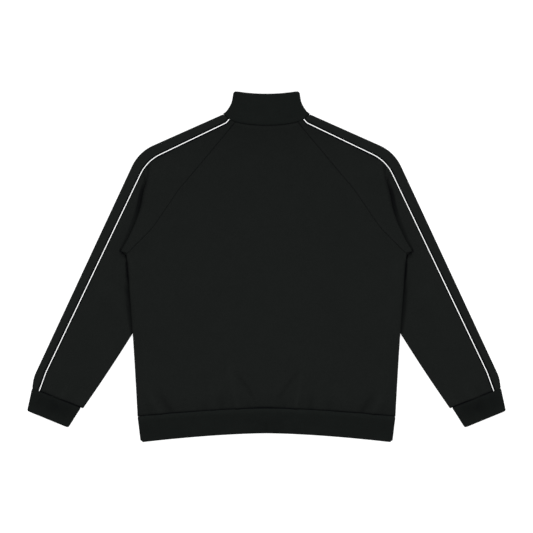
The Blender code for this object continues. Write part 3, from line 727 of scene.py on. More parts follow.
def piping_finish():
    """White cord cover, woven on the slant."""
    finish = Finish("piping_white_weave")
    across, along = finish.uv()
    twill = ((along * 1400.0 + across * 900.0) * math.pi).sine() * 0.5 + 0.5
    thread = finish.noise(1800.0, 2.0)
    soil = finish.noise(60.0, 2.0)
    colour = finish.tones(soil * 0.5 + twill * 0.5, (0.88, 0.89, 0.88), (0.96, 0.97, 0.96))
    return finish.coat(colour, 0.6 + thread * 0.15, twill + thread * 0.6, 0.12, 0.5, gloss=0.3)


def tape_finish():
    """Woven tape with a herringbone of fine slanted ribs."""
    finish = Finish("tape_black_herringbone")
    across, along = finish.uv()
    zigzag = ((across * 330.0).fraction() - 0.5).size() * 2.0
    weave = ((along * 1250.0 + zigzag * 1.6) * (2 * math.pi)).sine() * 0.5 + 0.5
    thread = finish.noise(2200.0, 2.0)
    colour = finish.tones(weave * 0.7 + thread * 0.3, (0.006, 0.006, 0.007), (0.014, 0.014, 0.015))
    return finish.coat(colour, 0.7 + thread * 0.2, weave + thread * 0.4, 0.15, 0.6, gloss=0.25)


def moulded_finish():
    """Black moulded teeth, slightly glossy with fine wear."""
    finish = Finish("teeth_black_moulded")
    grain = finish.noise(900.0, 3.0)
    wear = finish.noise(160.0, 2.0)
    colour = finish.tones(wear, (0.010, 0.010, 0.010), (0.024, 0.024, 0.025))
    return finish.coat(colour, 0.32 + grain * 0.2, grain, 0.03, 0.4, gloss=0.5)


def enamel_finish():
    """Black enamel on cast metal, rubbed brighter in places."""
    finish = Finish("metal_black_enamel")
    grain = finish.noise(1400.0, 2.0)
    rub = finish.noise(240.0, 3.0) ** 2.0
    colour = finish.tones(rub, (0.012, 0.012, 0.013), (0.075, 0.075, 0.078))
    return finish.coat(colour, 0.28 + grain * 0.22, grain, 0.02, 0.35, gloss=0.5, Metallic=0.35 + rub * 0.5)


BLACK_KNIT = knit_finish("knit_black_fine", (0.0062, 0.0072, 0.0067), (0.0089, 0.0100, 0.0094))
BLACK_RIB = knit_finish("rib_black_fine", (0.0049, 0.0060, 0.0055), (0.0074, 0.0087, 0.0081), ribbed=True)
WHITE_PIPING = piping_finish()
BLACK_TAPE = tape_finish()
BLACK_TEETH = moulded_finish()
BLACK_ENAMEL = enamel_finish()


# ---------------------------------------------------------------- body panels

# Seams as the viewer sees them: depth, height of the ridge beside them, and width
HEM_DIP = (1.6, 0.3, 2.0)
NECK_DIP = (1.2, 0.3, 1.6)
ARMHOLE_DIP = (1.1, 0.35, 1.5)
CUFF_DIP = (1.5, 0.5, 2.0)
PIPING_DIP = (1.0, 0.35, 1.4)
STRIP_DIP = (1.0, 0.25, 1.4)

# The same seams on the flat underside, which have no ridge
UNDER_HEM_DIP = (0.9, 0.0, 2.0)
UNDER_NECK_DIP = (0.9, 0.0, 1.6)
UNDER_ARMHOLE_DIP = (0.9, 0.0, 1.5)
UNDER_CUFF_DIP = (1.0, 0.0, 2.0)

# How far the shells' middle is moved out to meet the solids' faces, and how far edges round over
OUTER_SHIFT = (CLOTH - SINGLE) / 2
EDGE_ROUND = 2.2

# Creases and soft folds of the right half: root x, y, tip x, y, width, height and bend
BACK_LINES = (
    (28.0, -284.0, 84.0, -214.0, 4.0, -2.6, 4.0),
    (36.0, -303.0, 44.0, -290.0, 5.0, -1.4, 0.0),
    (61.0, -308.0, 82.0, -190.0, 7.0, 2.3, -3.0),
    (96.0, -310.0, 101.0, -262.0, 8.0, -1.6, 2.0),
    (112.0, -308.0, 122.0, -262.0, 9.0, 0.8, 2.0),
    (131.0, -310.0, 139.0, -284.0, 7.0, -1.1, 0.0),
    (160.0, -310.0, 171.0, -258.0, 12.0, 0.6, 0.0),
    (203.0, -314.0, 240.0, -254.0, 8.0, -2.8, -3.0),
    (226.0, -317.0, 252.0, -262.0, 8.0, 1.9, -4.0),
    (250.0, -321.0, 262.0, -270.0, 8.0, -0.7, 0.0),
    (286.0, 40.0, 232.0, 58.0, 9.0, -0.6, 4.0),
    (288.0, 10.0, 248.0, -36.0, 12.0, 0.7, 4.0),
    (90.0, 290.0, 120.0, 226.0, 14.0, 0.4, 0.0),
)
FRONT_LINES = (
    (40.0, -307.0, 52.0, -250.0, 8.0, 0.5, 3.0),
    (118.0, -310.0, 112.0, -244.0, 9.0, 0.6, -3.0),
    (190.0, -315.0, 214.0, -262.0, 8.0, 0.5, 3.0),
    (262.0, 14.0, 216.0, -30.0, 10.0, 0.5, 3.0),
)


def panel_half(raglan, neck, centre_x, columns, height):
    """The right half of a body panel, from the hem seam up to the neck seam."""
    raglan_shares = finer([share for _, share in SHOULDER_ROWS], SHOULDER_STEPS)[::-1]
    side = side_seam(np.arange(SIDE_ROWS) / SIDE_ROWS)
    side[0, 1] += HALF_GAP
    armhole = raglan.at(raglan_shares) - np.abs(left_of(raglan.ahead(raglan_shares))) * HALF_GAP
    right = np.concatenate((side, armhole))
    shares = np.linspace(0.0, 1.0, columns + 1)
    low_x = centre_x + (HEM_X - centre_x) * shares
    high_x = centre_x + (raglan.at(0.0)[0] - centre_x) * shares
    bottom = np.stack((low_x, hem_seam(low_x) + HALF_GAP), axis=-1)
    top = np.stack((high_x, neck(high_x) - HALF_GAP), axis=-1)
    right[-1] = top[-1]
    left = mix(bottom[:1], top[:1], np.linspace(0.0, 1.0, len(right))[:, None])
    return with_height(patch(left, right, bottom, top, shares), height)


def on_armhole_edge(y):
    """One above the armpit, where a panel's edge is sewn to the sleeve."""
    return smooth((y - ARMPIT[1]) / 6.0)


def add_back_panel():
    grid = closer_edges(both_halves(panel_half(BACK_SEAM, back_neck, 0.0, PANEL_COLUMNS, back_height)))
    x, y = grid[..., 0], grid[..., 1]
    along, across = lengths(grid, 0), lengths(grid, 1)
    from_neck = along[-1:] - along
    edge = np.minimum(across, across[:, -1:] - across)
    on_armhole = on_armhole_edge(y)
    creases = soft_lines(np.abs(x), y, BACK_LINES)
    shift = (OUTER_SHIFT + undulation(grid, 0.25, 70.0, 1.0) + creases
             + seam_profile(along, *HEM_DIP) + seam_profile(from_neck, *NECK_DIP)
             + on_armhole * seam_profile(edge, *ARMHOLE_DIP)
             - (1.0 - on_armhole) * bell(edge, EDGE_ROUND))
    grid = grid + normals(grid) * shift[..., None]
    # Painted shade: darkest in the hem seam (deeper at the centre), the neck and armhole seams and along the
    # body's side edge above the sleeve; lighter on crease ridges and darker in their furrows; darker towards
    # the hem seam and towards the neck; with a painted highlight just below the neck seam
    centre = bell(x, 45.0)
    under_arm_painted_shade = smooth((y + 150.0) / 30.0) * (1.0 - smooth((y - 8.0) / 12.0))
    under_arm_painted_shade = under_arm_painted_shade * (0.2 + 0.3 * smooth((y + 50.0) / 30.0))
    painted_shade_and_tone = deepest((0.75 + 0.25 * centre) * bell(along, 2.1 + centre),
                     0.5 * bell(from_neck, 1.5),
                     0.45 * on_armhole * bell(edge, 1.2),
                     under_arm_painted_shade * bell(edge, 2.4))
    painted_shade_and_tone = painted_shade_and_tone - 0.055 * creases + 0.12 * (1.0 - smooth(along / 46.0)) + shoulder_painted_shade(y)
    painted_shade_and_tone = painted_shade_and_tone - 0.12 * bell(from_neck - 4.6, 2.0)
    item = knit_piece("back_panel", grid, painted_shade_and_tone)
    round(area_of(grid), 3)


def add_front_panels():
    half = panel_half(FRONT_SEAM, front_neck, ZIP_SLOT, FRONT_COLUMNS, front_height)
    for side, name in ((1, "right"), (-1, "left")):
        grid = closer_edges(half if side == 1 else mirrored(half))
        x, y = np.abs(grid[..., 0]), grid[..., 1]
        along, across = lengths(grid, 0), lengths(grid, 1)
        from_hem, from_neck = (along, along[-1:] - along)[::side]
        edge = across[:, -1:] - across
        on_armhole = on_armhole_edge(y)
        shift = (OUTER_SHIFT + seam_profile(from_hem, *UNDER_HEM_DIP)
                 + seam_profile(from_neck, *UNDER_NECK_DIP)
                 + on_armhole * seam_profile(edge, *UNDER_ARMHOLE_DIP)
                 - (1.0 - on_armhole) * 0.5 * bell(edge, EDGE_ROUND)
                 - 0.9 * bell(across, 1.2) - soft_lines(x, y, FRONT_LINES))
        shift = np.minimum(shift, OUTER_SHIFT)
        grid = (grid - normals(grid) * shift[..., None])[::-1]
        item = knit_piece(f"front_panel_{name}", grid)
        round(area_of(grid), 3)


# ---------------------------------------------------------------- sleeves

SLEEVE_LINES = (
    # Right sleeve: root x, y, tip x, y, width, height and bend
    (447.0, -287.0, 420.0, -240.0, 5.0, 1.5, 4.0),
    (463.0, -281.0, 452.0, -246.0, 7.0, -1.1, 2.0),
    (477.0, -273.0, 472.0, -238.0, 6.0, -0.8, -2.0),
    (430.0, -292.0, 408.0, -250.0, 8.0, -0.9, 3.0),
    (405.0, -299.0, 392.0, -268.0, 7.0, 0.9, 3.0),
    (330.0, -40.0, 366.0, -78.0, 16.0, 0.9, 6.0),
    (322.0, -84.0, 352.0, -128.0, 14.0, -0.7, 6.0),
    (352.0, 20.0, 386.0, -40.0, 15.0, 0.5, 5.0),
    (205.0, 236.0, 226.0, 170.0, 13.0, 0.5, 6.0),
    (160.0, 262.0, 176.0, 210.0, 15.0, 0.4, 4.0),
)


def turn_angle(overlap, height, radii):
    """Angle of both turns of a fold, so that the straight run between them joins up."""
    low, high = 0.0, math.pi
    for _ in range(40):
        angle = (low + high) / 2
        run_across = radii * (1.0 - math.sin(angle)) - overlap
        run_down = height - radii * (1.0 - math.cos(angle))
        if run_across * math.sin(angle) > run_down * math.cos(angle):
            high = angle
        else:
            low = angle
    return low


def outward_of(line, share, spread):
    """Unit vector across a fold line, away from the body, turning along the piping at its start."""
    ahead = unit(line(min(share + 0.01, 1.0)) - line(max(share - 0.01, 0.0)))
    return unit(mix(unit(spread), left_of(ahead), smooth(share / CORNER_FADE)))


def fold_section(share, low_level, start_level, turns, inset):
    """Points of one sheet through the fold, from the flap down and under to the lower sleeve."""
    inward = left_of(-SEAM.ahead(FLAP_SHARE)) * inset
    spread = CREASE_START - FLAP_START

    def flap(part):
        return flap_edge(part) + inward * (1.0 - smooth(part / CORNER_FADE))

    def hidden(part):
        return crease(part) + inward * (1.0 - smooth(part / CORNER_FADE))

    rise = smooth(share / FOLD_START)
    height = FOLD_LIFT * rise
    low_z = mix(start_level, low_level, rise)
    scale = min(1.0, height / (2 * FOLD_ROUNDING * (TURN_OUTER + TURN_INNER)))
    over, under = turns[0] * scale, turns[1] * scale
    flap_out = outward_of(flap, share, spread)
    crease_out = outward_of(hidden, share, spread)
    flap_centre = flap(share) - flap_out * EDGE_INSET * rise
    crease_centre = hidden(share) + crease_out * EDGE_INSET * rise
    across = unit(flap_out + crease_out)
    overlap = float((flap_centre - crease_centre) @ across) + over + under
    angle = turn_angle(overlap, height, over + under)

    def over_turn(part):
        place = flap_centre + flap_out * over * math.sin(part)
        return np.array((*place, low_z + height - over * (1.0 - math.cos(part))))

    def under_turn(part):
        place = crease_centre - crease_out * under * math.sin(part)
        return np.array((*place, low_z + under * (1.0 - math.cos(part))))

    run = (over_turn(angle), under_turn(angle))
    parts = (over * angle, float(np.linalg.norm(run[1] - run[0])), under * angle)
    total = sum(parts)
    marks = [parts[0] * step / TURN_STEPS for step in range(TURN_STEPS)]
    marks += [parts[0] + parts[1] * step / RUN_STEPS for step in range(RUN_STEPS)]
    marks += [total - parts[2] * (1 - step / TURN_STEPS) for step in range(TURN_STEPS + 1)]
    points = []
    for index, mark in enumerate(marks):
        distance = float(mix(total * index / FOLD_ROWS, mark, rise))
        if distance < parts[0]:
            points.append(over_turn(distance / over))
        elif distance <= parts[0] + parts[1]:
            points.append(mix(run[0], run[1], (distance - parts[0]) / max(parts[1], 1e-6)))
        else:
            points.append(under_turn((total - distance) / under))
    return points


def sleeve_half(raglan, levels, turns, inset, height):
    """A sleeve sheet, from the piped seam (first column) to the raglan and underarm seams.

    Returns the grid and the first and last of its rows that are in the fold.
    """
    columns = finer(COLUMN_SHARES, SLEEVE_STEPS)
    fold = np.array([fold_section(share, levels[0], levels[1], turns, inset) for share in columns])
    fold = fold.transpose(1, 0, 2)

    def on_seam(share):
        return SEAM.at(share) + left_of(-SEAM.ahead(share)) * inset

    above = finer(SHOULDER_ROWS, SHOULDER_STEPS)
    last_gap = mix(above[-1:], (1.0, 1.0), np.arange(1, SHOULDER_STEPS)[:, None] / SHOULDER_STEPS)
    left = on_seam(np.concatenate((above[:, 0], last_gap[:, 0], [1.0])) * FLAP_SHARE)
    right = raglan.at(above[:, 1]) + np.abs(left_of(raglan.ahead(above[:, 1]))) * HALF_GAP
    right[0] = raglan.at(0.0) + (HALF_GAP, -HALF_GAP)
    corner = fold[0, -1, :2]
    rest = mix(right[-1:], corner[None], np.arange(1, SHOULDER_STEPS + 1)[:, None] / SHOULDER_STEPS)
    right = np.concatenate((right, rest))
    if inset == 0.0:
        # The front sheet's top edge follows the front neck seam
        blend = np.maximum(0.0, 1.0 - above[:, :1] / SHOULDER_ROWS[1][0])
        inner_x = NECK_X - CORNER_INSET
        neck_corner = np.array((inner_x + CORNER_INSET / 2, float(front_neck(inner_x)) - 0.5))
        aside = 8.0 * (1 - above[:, :1] / SHOULDER_ROWS[2][0]).clip(0, 1) * (1, 0)
        left[:len(above)] = mix(left[:len(above)] + aside, neck_corner, blend)
        x = mix(inner_x, right[0, 0], columns)
        top = np.stack((x + CORNER_INSET / 2 * (1.0 - columns), front_neck(x) - HALF_GAP), axis=-1)
        top[0], top[-1] = left[0], right[0]
    else:
        top = mix(left[:1], right[:1], columns[:, None])
    upper = with_height(patch(left, right, top, fold[0, :, :2], columns), height)[:-1]
    upper[..., 2] += (fold[0, :, 2] - height(fold[0, :, 0], fold[0, :, 1])) * smooth(
        np.linspace(-1.0, 1.0, len(upper)))[:, None]

    below = finer(ARM_ROWS, ARM_STEPS)[1:]
    left = np.concatenate((fold[-1:, 0, :2], on_seam(mix(CREASE_SHARE, 1.0, below[:, 0]))))
    inner = bowed(SLEEVE_TURN, SLEEVE_INNER_END, -SLEEVE_INNER_BOW, below[:, 1])
    right = np.concatenate((fold[-1:, -1, :2], inner))
    cuff = mix(left[-1:], right[-1:], columns[:, None])
    plan = patch(left, right, fold[-1, :, :2], cuff, columns)[1:]
    if inset:
        # The back sheet lies loose where nothing covers it
        along = np.arange(1, len(plan) + 1)[:, None] / (3 * ARM_STEPS)
        level = sleeve_back_height(plan[..., 0], plan[..., 1], columns[None], along)
        step = (fold[-1, :, 2] - level[0])[None] * (1.0 - smooth(along * 6.0))
        level = level + step
    else:
        level = np.full(plan.shape[:2], float(levels[0]))
    lower = np.concatenate((plan, level[..., None]), axis=-1)
    grid = np.concatenate((upper, fold, lower))
    return grid, len(upper), len(upper) + FOLD_ROWS


def wrap_strip():
    """The sleeve front's outer strip: from the piped seam, round the outer fold to the underside."""
    above = finer([piping for piping, _ in SHOULDER_ROWS] + [1.0], SHOULDER_STEPS)[:-1] * FLAP_SHARE
    middle = mix(FLAP_SHARE, CREASE_SHARE, np.arange(FOLD_ROWS + 1) / FOLD_ROWS)
    below = mix(CREASE_SHARE, 1.0, finer([piping for piping, _ in ARM_ROWS], ARM_STEPS)[1:])
    shares = np.concatenate((above, middle, below))
    seam = SEAM.at(shares)
    edge = FOLD.at(FOLD.nearest(seam[:, 0], seam[:, 1])[0])
    edge[0], edge[-1] = FOLD.at(0.0), FOLD.at(1.0)
    out = unit(edge - seam)
    radius = SLEEVE_LOFT / 2 + LAYER / 2
    centre = edge - out * (radius + CLOTH / 2)
    start = seam + out * PIPING_TUCK
    strip = []
    for step in range(STRIP_STEPS):
        strip.append(at_level(mix(start, centre, step / STRIP_STEPS), FRONT_LEVEL + 2 * radius))
    for step in range(WRAP_STEPS + 1):
        angle = math.pi * step / WRAP_STEPS
        strip.append(at_level(centre + out * radius * math.sin(angle),
                              FRONT_LEVEL + radius * (1.0 + math.cos(angle))))
    return np.stack(strip, axis=1)


# Depth of the painted shade on the lower sleeve, and of the slight dip that goes with it, by the y of the
# edge above it: y, depth
COVER_PAINTED_SHADE_AND_DIP = (
    # along the side of the body, up to the armpit
    (-150.0, 0.3), (-138.0, 0.36), (-100.0, 0.40), (-60.0, 0.44), (-30.0, 0.6), (-10.0, 0.68),
    (12.0, 0.62), (18.0, 0.5), (26.5, 0.4),
    # from the armpit to the flap's tip, where the painted shade is deepest
    (27.3, 0.95), (31.0, 1.0), (34.0, 0.8),
    # along the flap's edge, up to the piping
    (36.0, 0.26), (60.0, 0.26), (84.0, 0.3), (105.0, 0.38), (126.0, 0.52), (148.0, 0.56),
    (160.0, 0.56), (172.0, 0.36), (188.0, 0.0),
)
# How far that painted shade and dip reach from the edge: y, width
COVER_REACH = (
    (-140.0, 8.0), (-110.0, 11.5), (-80.0, 13.5), (-60.0, 12.5), (-40.0, 9.5), (-20.0, 7.5),
    (0.0, 6.5), (14.0, 5.0), (22.0, 3.0), (26.5, 3.0), (27.3, 4.4), (34.0, 4.4),
    (40.0, 6.0), (80.0, 11.0), (120.0, 12.0), (150.0, 11.0), (165.0, 10.0), (190.0, 6.0),
)
# How dark the painted shade at the cuff's seam is, which changes as the rib gathers the sleeve: x, depth
CUFF_SEAM_PAINTED_SHADE = ((402.0, 1.0), (434.0, 0.95), (446.0, 0.45), (460.0, 0.4), (466.0, 0.9),
                    (484.0, 0.85), (496.0, 0.4))
# Painted shade: the cloth darkened slightly as it tips away towards the neck: y, depth
SHOULDER_PAINTED_SHADE = ((20.0, 0.07), (140.0, 0.08), (230.0, 0.11), (300.0, 0.2))
# The painted shade on the fold's turned edge, and the slight dip with it: y, depth
TURNED_EDGE_PAINTED_SHADE_AND_DIP = ((27.0, 0.6), (40.0, 0.25), (170.0, 0.55), (212.0, 0.3))


def from_table(value, table):
    places, results = zip(*table)
    return np.interp(value, places, results)


def shoulder_painted_shade(y):
    return from_table(y, SHOULDER_PAINTED_SHADE)


def gaps_to(edge, x, y):
    """Distances from each place to every point of an edge."""
    return np.hypot(x[..., None] - edge[:, 0], y[..., None] - edge[:, 1])


def painted_shade_and_dip_beside_cover(x, y):
    """Depth of the painted shade, and of the slight dip with it, on the lower sleeve beside the flap's edge
    and the side of the body.
    """
    edge = np.concatenate((flap_edge(np.linspace(0.0, 1.0, 200)),
                           mix(FLAP_TIP, ARMPIT, np.linspace(0.0, 1.0, 20)[:, None]),
                           side_seam(np.linspace(1.0, 0.0, 300))))
    gaps = gaps_to(edge, x, y)
    place = edge[gaps.argmin(axis=-1), 1]
    share = gaps.min(axis=-1) / from_table(place, COVER_REACH)
    return from_table(place, COVER_PAINTED_SHADE_AND_DIP) * (1.0 - smooth((share - 0.5) / 0.5))


def painted_shade_on_flap(x, y):
    """Painted shade: the flap darkened where it rounds over towards its edge."""
    gap = gaps_to(flap_edge(np.linspace(0.0, 1.0, 200)), x, y).min(axis=-1)
    return 0.36 * smooth((y - 90.0) / 50.0) * (1.0 - smooth(gap / 9.0))


def painted_shade_at_piping(across):
    """Painted shade: the cord's shadow in the groove on either side of it."""
    return 0.95 * (1.0 - smooth((across - 2.4) / 1.4))


def clear_of_fold(rows, first_fold, last_fold):
    """One on the rows above the fold, and one on the rows below it."""
    return 1.0 - smooth((rows - first_fold + 6.0) / 6.0), smooth((rows - last_fold) / 8.0)


def add_sleeve_backs():
    grid, first_fold, last_fold = sleeve_half(BACK_SEAM, (BACK_LEVEL, BACK_LEVEL + SLEEVE_LOFT),
                                              (TURN_OUTER, TURN_INNER), PIPING_TUCK, back_height)
    grid, rows = with_rows(grid)
    x, y = grid[..., 0], grid[..., 1]
    along, across = lengths(grid, 0), lengths(grid, 1)
    from_cuff = along[-1:] - along
    edge = across[:, -1:] - across
    above, below = clear_of_fold(rows, first_fold, last_fold)
    loose = np.maximum(above, below)
    creases = soft_lines(x, y, SLEEVE_LINES) * loose
    # Painted shade, which also dips the cloth a little: on the fold's turned edge, and on the lower sleeve
    # beside the flap and the side of the body
    turned_edge_painted_shade_and_dip = bell(rows - first_fold - 4.5, 2.2) * from_table(y, TURNED_EDGE_PAINTED_SHADE_AND_DIP)
    cover_painted_shade_and_dip = np.maximum(smooth((rows - last_fold) / 3.0) * painted_shade_and_dip_beside_cover(x, y), turned_edge_painted_shade_and_dip)
    shift = (OUTER_SHIFT + undulation(grid, 0.35, 38.0, 5.0) * loose + creases
             + seam_profile(along, *NECK_DIP) + seam_profile(from_cuff, *CUFF_DIP)
             + seam_profile(across, *PIPING_DIP) * loose + seam_profile(edge, *ARMHOLE_DIP) * above
             - bell(edge, EDGE_ROUND) * below - 0.5 * cover_painted_shade_and_dip)
    # Painted shade: beside the flap and the body, on the flap's rounded edge, in the cuff and armhole seams,
    # beside the piping and towards the neck; lighter on crease ridges and darker in their furrows
    painted_shade_and_tone = deepest(cover_painted_shade_and_dip,
                     (rows < first_fold + 5.0) * painted_shade_on_flap(x, y),
                     from_table(x, CUFF_SEAM_PAINTED_SHADE) * bell(from_cuff, 2.2),
                     0.45 * above * bell(edge, 1.2),
                     painted_shade_at_piping(across))
    painted_shade_and_tone = painted_shade_and_tone + shoulder_painted_shade(y) - 0.06 * creases
    grid = grid + normals(grid) * shift[..., None]
    for name, sheet, depth in pair(grid, painted_shade_and_tone):
        item = knit_piece(f"sleeve_back_{name}", sheet, depth)
        round(area_of(grid), 3)


def add_sleeve_fronts():
    grid, first_fold, last_fold = sleeve_half(FRONT_SEAM, (FRONT_LEVEL, FRONT_LEVEL),
                                              (TURN_INNER, TURN_OUTER), 0.0, front_height)
    strip, rows = with_rows(np.concatenate((wrap_strip(), grid), axis=1))
    along, across = lengths(strip, 0), lengths(strip, 1)
    edge = across[:, -1:] - across
    above, below = clear_of_fold(rows, first_fold, last_fold)
    on_top = smooth((strip[..., 2] - 3.0) / 2.0)
    shift = (OUTER_SHIFT + seam_profile(along, *UNDER_NECK_DIP) * (1.0 - 0.75 * on_top)
             + seam_profile(along[-1:] - along, *UNDER_CUFF_DIP) + seam_profile(across, *STRIP_DIP)
             + seam_profile(edge, *UNDER_ARMHOLE_DIP) * above - 0.5 * bell(edge, EDGE_ROUND) * below)
    strip = strip - normals(strip) * shift[..., None]
    strip[..., 2] = np.maximum(strip[..., 2], SINGLE / 2)
    # Painted shade: the cord's shadow beside the piping
    for name, sheet, depth in pair(strip[::-1], painted_shade_at_piping(across)[::-1]):
        item = knit_piece(f"sleeve_front_{name}", sheet, depth)
        round(area_of(strip), 3)


# ---------------------------------------------------------------- piping

def add_piping():
    """A cord cover, round on top and sewn into the seam along its underside."""
    shares = np.concatenate((np.linspace(0.0, 0.05, 20)[:-1], np.linspace(0.05, 1.0, 190)))
    line = SEAM.at(shares)
    side = left_of(SEAM.ahead(shares))
    level = BACK_LEVEL + SLEEVE_LOFT + PIPING_PROUD
    rings = []
    for step in range(PIPING_SIDES):
        angle = 2 * math.pi * step / PIPING_SIDES
        rings.append(at_level(line - side * PIPING_RADIUS * math.cos(angle),
                              level + PIPING_RADIUS * math.sin(angle)))
    grid = np.stack(rings)
    for name, tube in (("right", grid), ("left", mirrored(grid))):
        data = sheet_mesh(f"piping_{name}_cord", tube, closed=True)
        mesh = bmesh.new()
        mesh.from_mesh(data)
        bmesh.ops.holes_fill(mesh, edges=[edge for edge in mesh.edges if edge.is_boundary])
        mesh.to_mesh(data)
        mesh.free()
        data.shade_smooth()
        join_jacket(in_scene(data), f"piping_{name}", WHITE_PIPING)


# ---------------------------------------------------------------- rib trims

def facing_out(grid, closed=False):
    """The grid of a flattened tube, its rows in the order that turns its faces outwards."""
    up = normals(grid, closed)[..., 2]
    level = grid[..., 2] - grid[..., 2].mean()
    return grid if (up * level).sum() > 0 else grid[::-1]


def doubled(grid, closed=False):
    """Rib cloth folded double: out along the grid, round its last column, and back inside."""
    half = RIB / 2 - DOUBLE / 2
    up = normals(grid, closed)
    ahead = unit(grid[:, -1] - grid[:, -2])
    end = grid[:, -1] - ahead * half
    outer = grid + up * half
    inner = (grid - up * half)[:, ::-1]
    outer[:, -1] = end + up[:, -1] * half
    inner[:, 0] = end - up[:, -1] * half
    turn = []
    for step in range(1, CREST_STEPS):
        angle = math.pi * step / CREST_STEPS
        turn.append(end + up[:, -1] * half * math.cos(angle) + ahead * half * math.sin(angle))
    return np.concatenate((outer, np.stack(turn, axis=1), inner), axis=1)


def half_turn(centre, out, radius):
    """Points of a half turn about a centre, from the low wall up to the high wall."""
    points = []
    for step in range(WRAP_STEPS + 1):
        angle = math.pi * step / WRAP_STEPS
        place = centre + out * radius * math.sin(angle)
        points.append((*place, RIB_LEVEL + radius * (1.0 - math.cos(angle))))
    return points


def side_fold(high_level, fold):
    """The half turn at a trim's right side, out to its fold line and up to the high wall."""
    radius = (high_level - RIB_LEVEL) / 2
    out = np.array((1.0, 0.0))
    return half_turn(fold - out * (radius + RIB / 2), out, radius)


def corner_drop(distance, radius):
    """How far a rounded corner falls short of the square one, at a distance from its side."""
    inside = np.clip(radius - distance, 0.0, radius)
    return radius - np.sqrt(radius ** 2 - inside ** 2)


def trim_grid(grid):
    """A trim's grid with closer lines at its seam and both ends, and its faces outwards."""
    return facing_out(closer_lines(closer_lines(grid, 1, True, False), 0, True, True))


# Roundness of the trims' free corners
BAND_CORNER = 3.5
CUFF_CORNER = 5.0

# Soft folds of the right half: root x, y, tip x, y, width, height and bend
BAND_LINES = (
    (18.0, -308.0, 24.0, -336.0, 7.0, 0.4, 0.0),
    (52.0, -308.0, 60.0, -340.0, 9.0, -0.4, 0.0),
    (104.0, -310.0, 98.0, -342.0, 10.0, 0.4, 0.0),
    (171.0, -313.0, 178.0, -346.0, 11.0, -0.4, 0.0),
    (226.0, -318.0, 219.0, -352.0, 9.0, 0.4, 0.0),
)
CUFF_LINES = (
    (470.0, -279.0, 478.0, -312.0, 8.0, 0.5, 0.0),
    (441.0, -290.0, 452.0, -324.0, 9.0, -0.4, 0.0),
    (420.0, -300.0, 434.0, -330.0, 7.0, 0.4, 0.0),
)


def add_hem_band():
    """Each section runs from the zip, round the side fold, to the centre of the back."""
    front = np.linspace(ZIP_SLOT, HEM_X, BAND_STEPS + 1)[:-1]
    back = np.linspace(HEM_X, 0.0, BAND_STEPS + 1)[1:]
    sections = []
    for edge in np.linspace(0.0, 1.0, BAND_SECTIONS):
        width = mix(HEM_X, HEM_EDGE_X, edge) / HEM_X

        def place(x):
            lower = HEM_EDGE - HEM_EDGE_DROP * (x / HEM_X) ** HEM_POWER + corner_drop(HEM_X - x, BAND_CORNER)
            return np.array((x * width, mix(hem_seam(x) - HALF_GAP, lower, edge)))

        section = [(*place(x), RIB_LEVEL) for x in front]
        section += side_fold(HEM_SIDE_LEVEL, place(HEM_X))
        for x in back:
            section.append((*place(x), float(mix(HEM_BACK_LEVEL, HEM_SIDE_LEVEL, smooth(x / HEM_X)))))
        sections.append(section)
    half = np.array(sections).transpose(1, 0, 2)
    grid = trim_grid(np.concatenate((half, half[-2::-1] * FLIP)))
    x, y = grid[..., 0], grid[..., 1]
    on_back = smooth((grid[..., 2] - 2.6) / 1.5)
    along = lengths(grid, 1)
    ends = 4 * (along / along[:, -1:] - 0.5) ** 2
    loose = undulation(grid, 0.3, 26.0, 9.0) + soft_lines(np.abs(x), y, BAND_LINES)
    shift = (on_back * (0.5 * bell(along - 5.5, 3.0) + loose - 0.25 * (0.2 + 0.8 * ends) * bell(x, 1.3))
             - (0.5 + 0.9 * on_back) * bell(along, 2.0))
    whole = doubled(grid + normals(grid) * shift[..., None])
    x = whole[..., 0]
    from_seam = lengths(whole, 1)
    # Painted shade and tone: the rib a little darker throughout with random tone; painted shade darker
    # beyond the ridge below the seam, in the fold at the centre of the back, and over the middle of the back
    # towards the edge
    painted_shade_and_tone = (0.04 + 0.17 * smooth((from_seam - 4.0) / 10.0) + undulation(whole, 0.05, 20.0, 25.0)
              + 0.08 * bell(x, 1.4) * smooth((from_seam - 20.0) / 20.0)
              + 0.08 * bell(x, 34.0) * smooth((from_seam - 16.0) / 16.0))
    item = rib_piece("hem_band", whole, painted_shade_and_tone)
    round(area_of(whole), 3)


# Angles round the front neck from the centre, in degrees, of the points in each collar section
COLLAR_ANGLES = (81.0, 70.0, 55.0, 47.0, 37.0, 27.0, 17.0, 9.0)
COLLAR_SIDE_X = 76.0


def collar_flare(rise):
    """How far the collar's sides are drawn in, from its seam up to its top."""
    reach, start = COLLAR_TUCK
    tuck = reach * (1.0 - math.exp(-rise / start)) * (1.0 - 0.8 * smooth((rise - 0.4) / 0.5))
    return COLLAR_FLARE * 4 * rise * (1.0 - rise) + tuck


def at_collar_side(grid):
    return smooth((np.abs(grid[..., 0]) - COLLAR_SIDE_X) / 10.0)


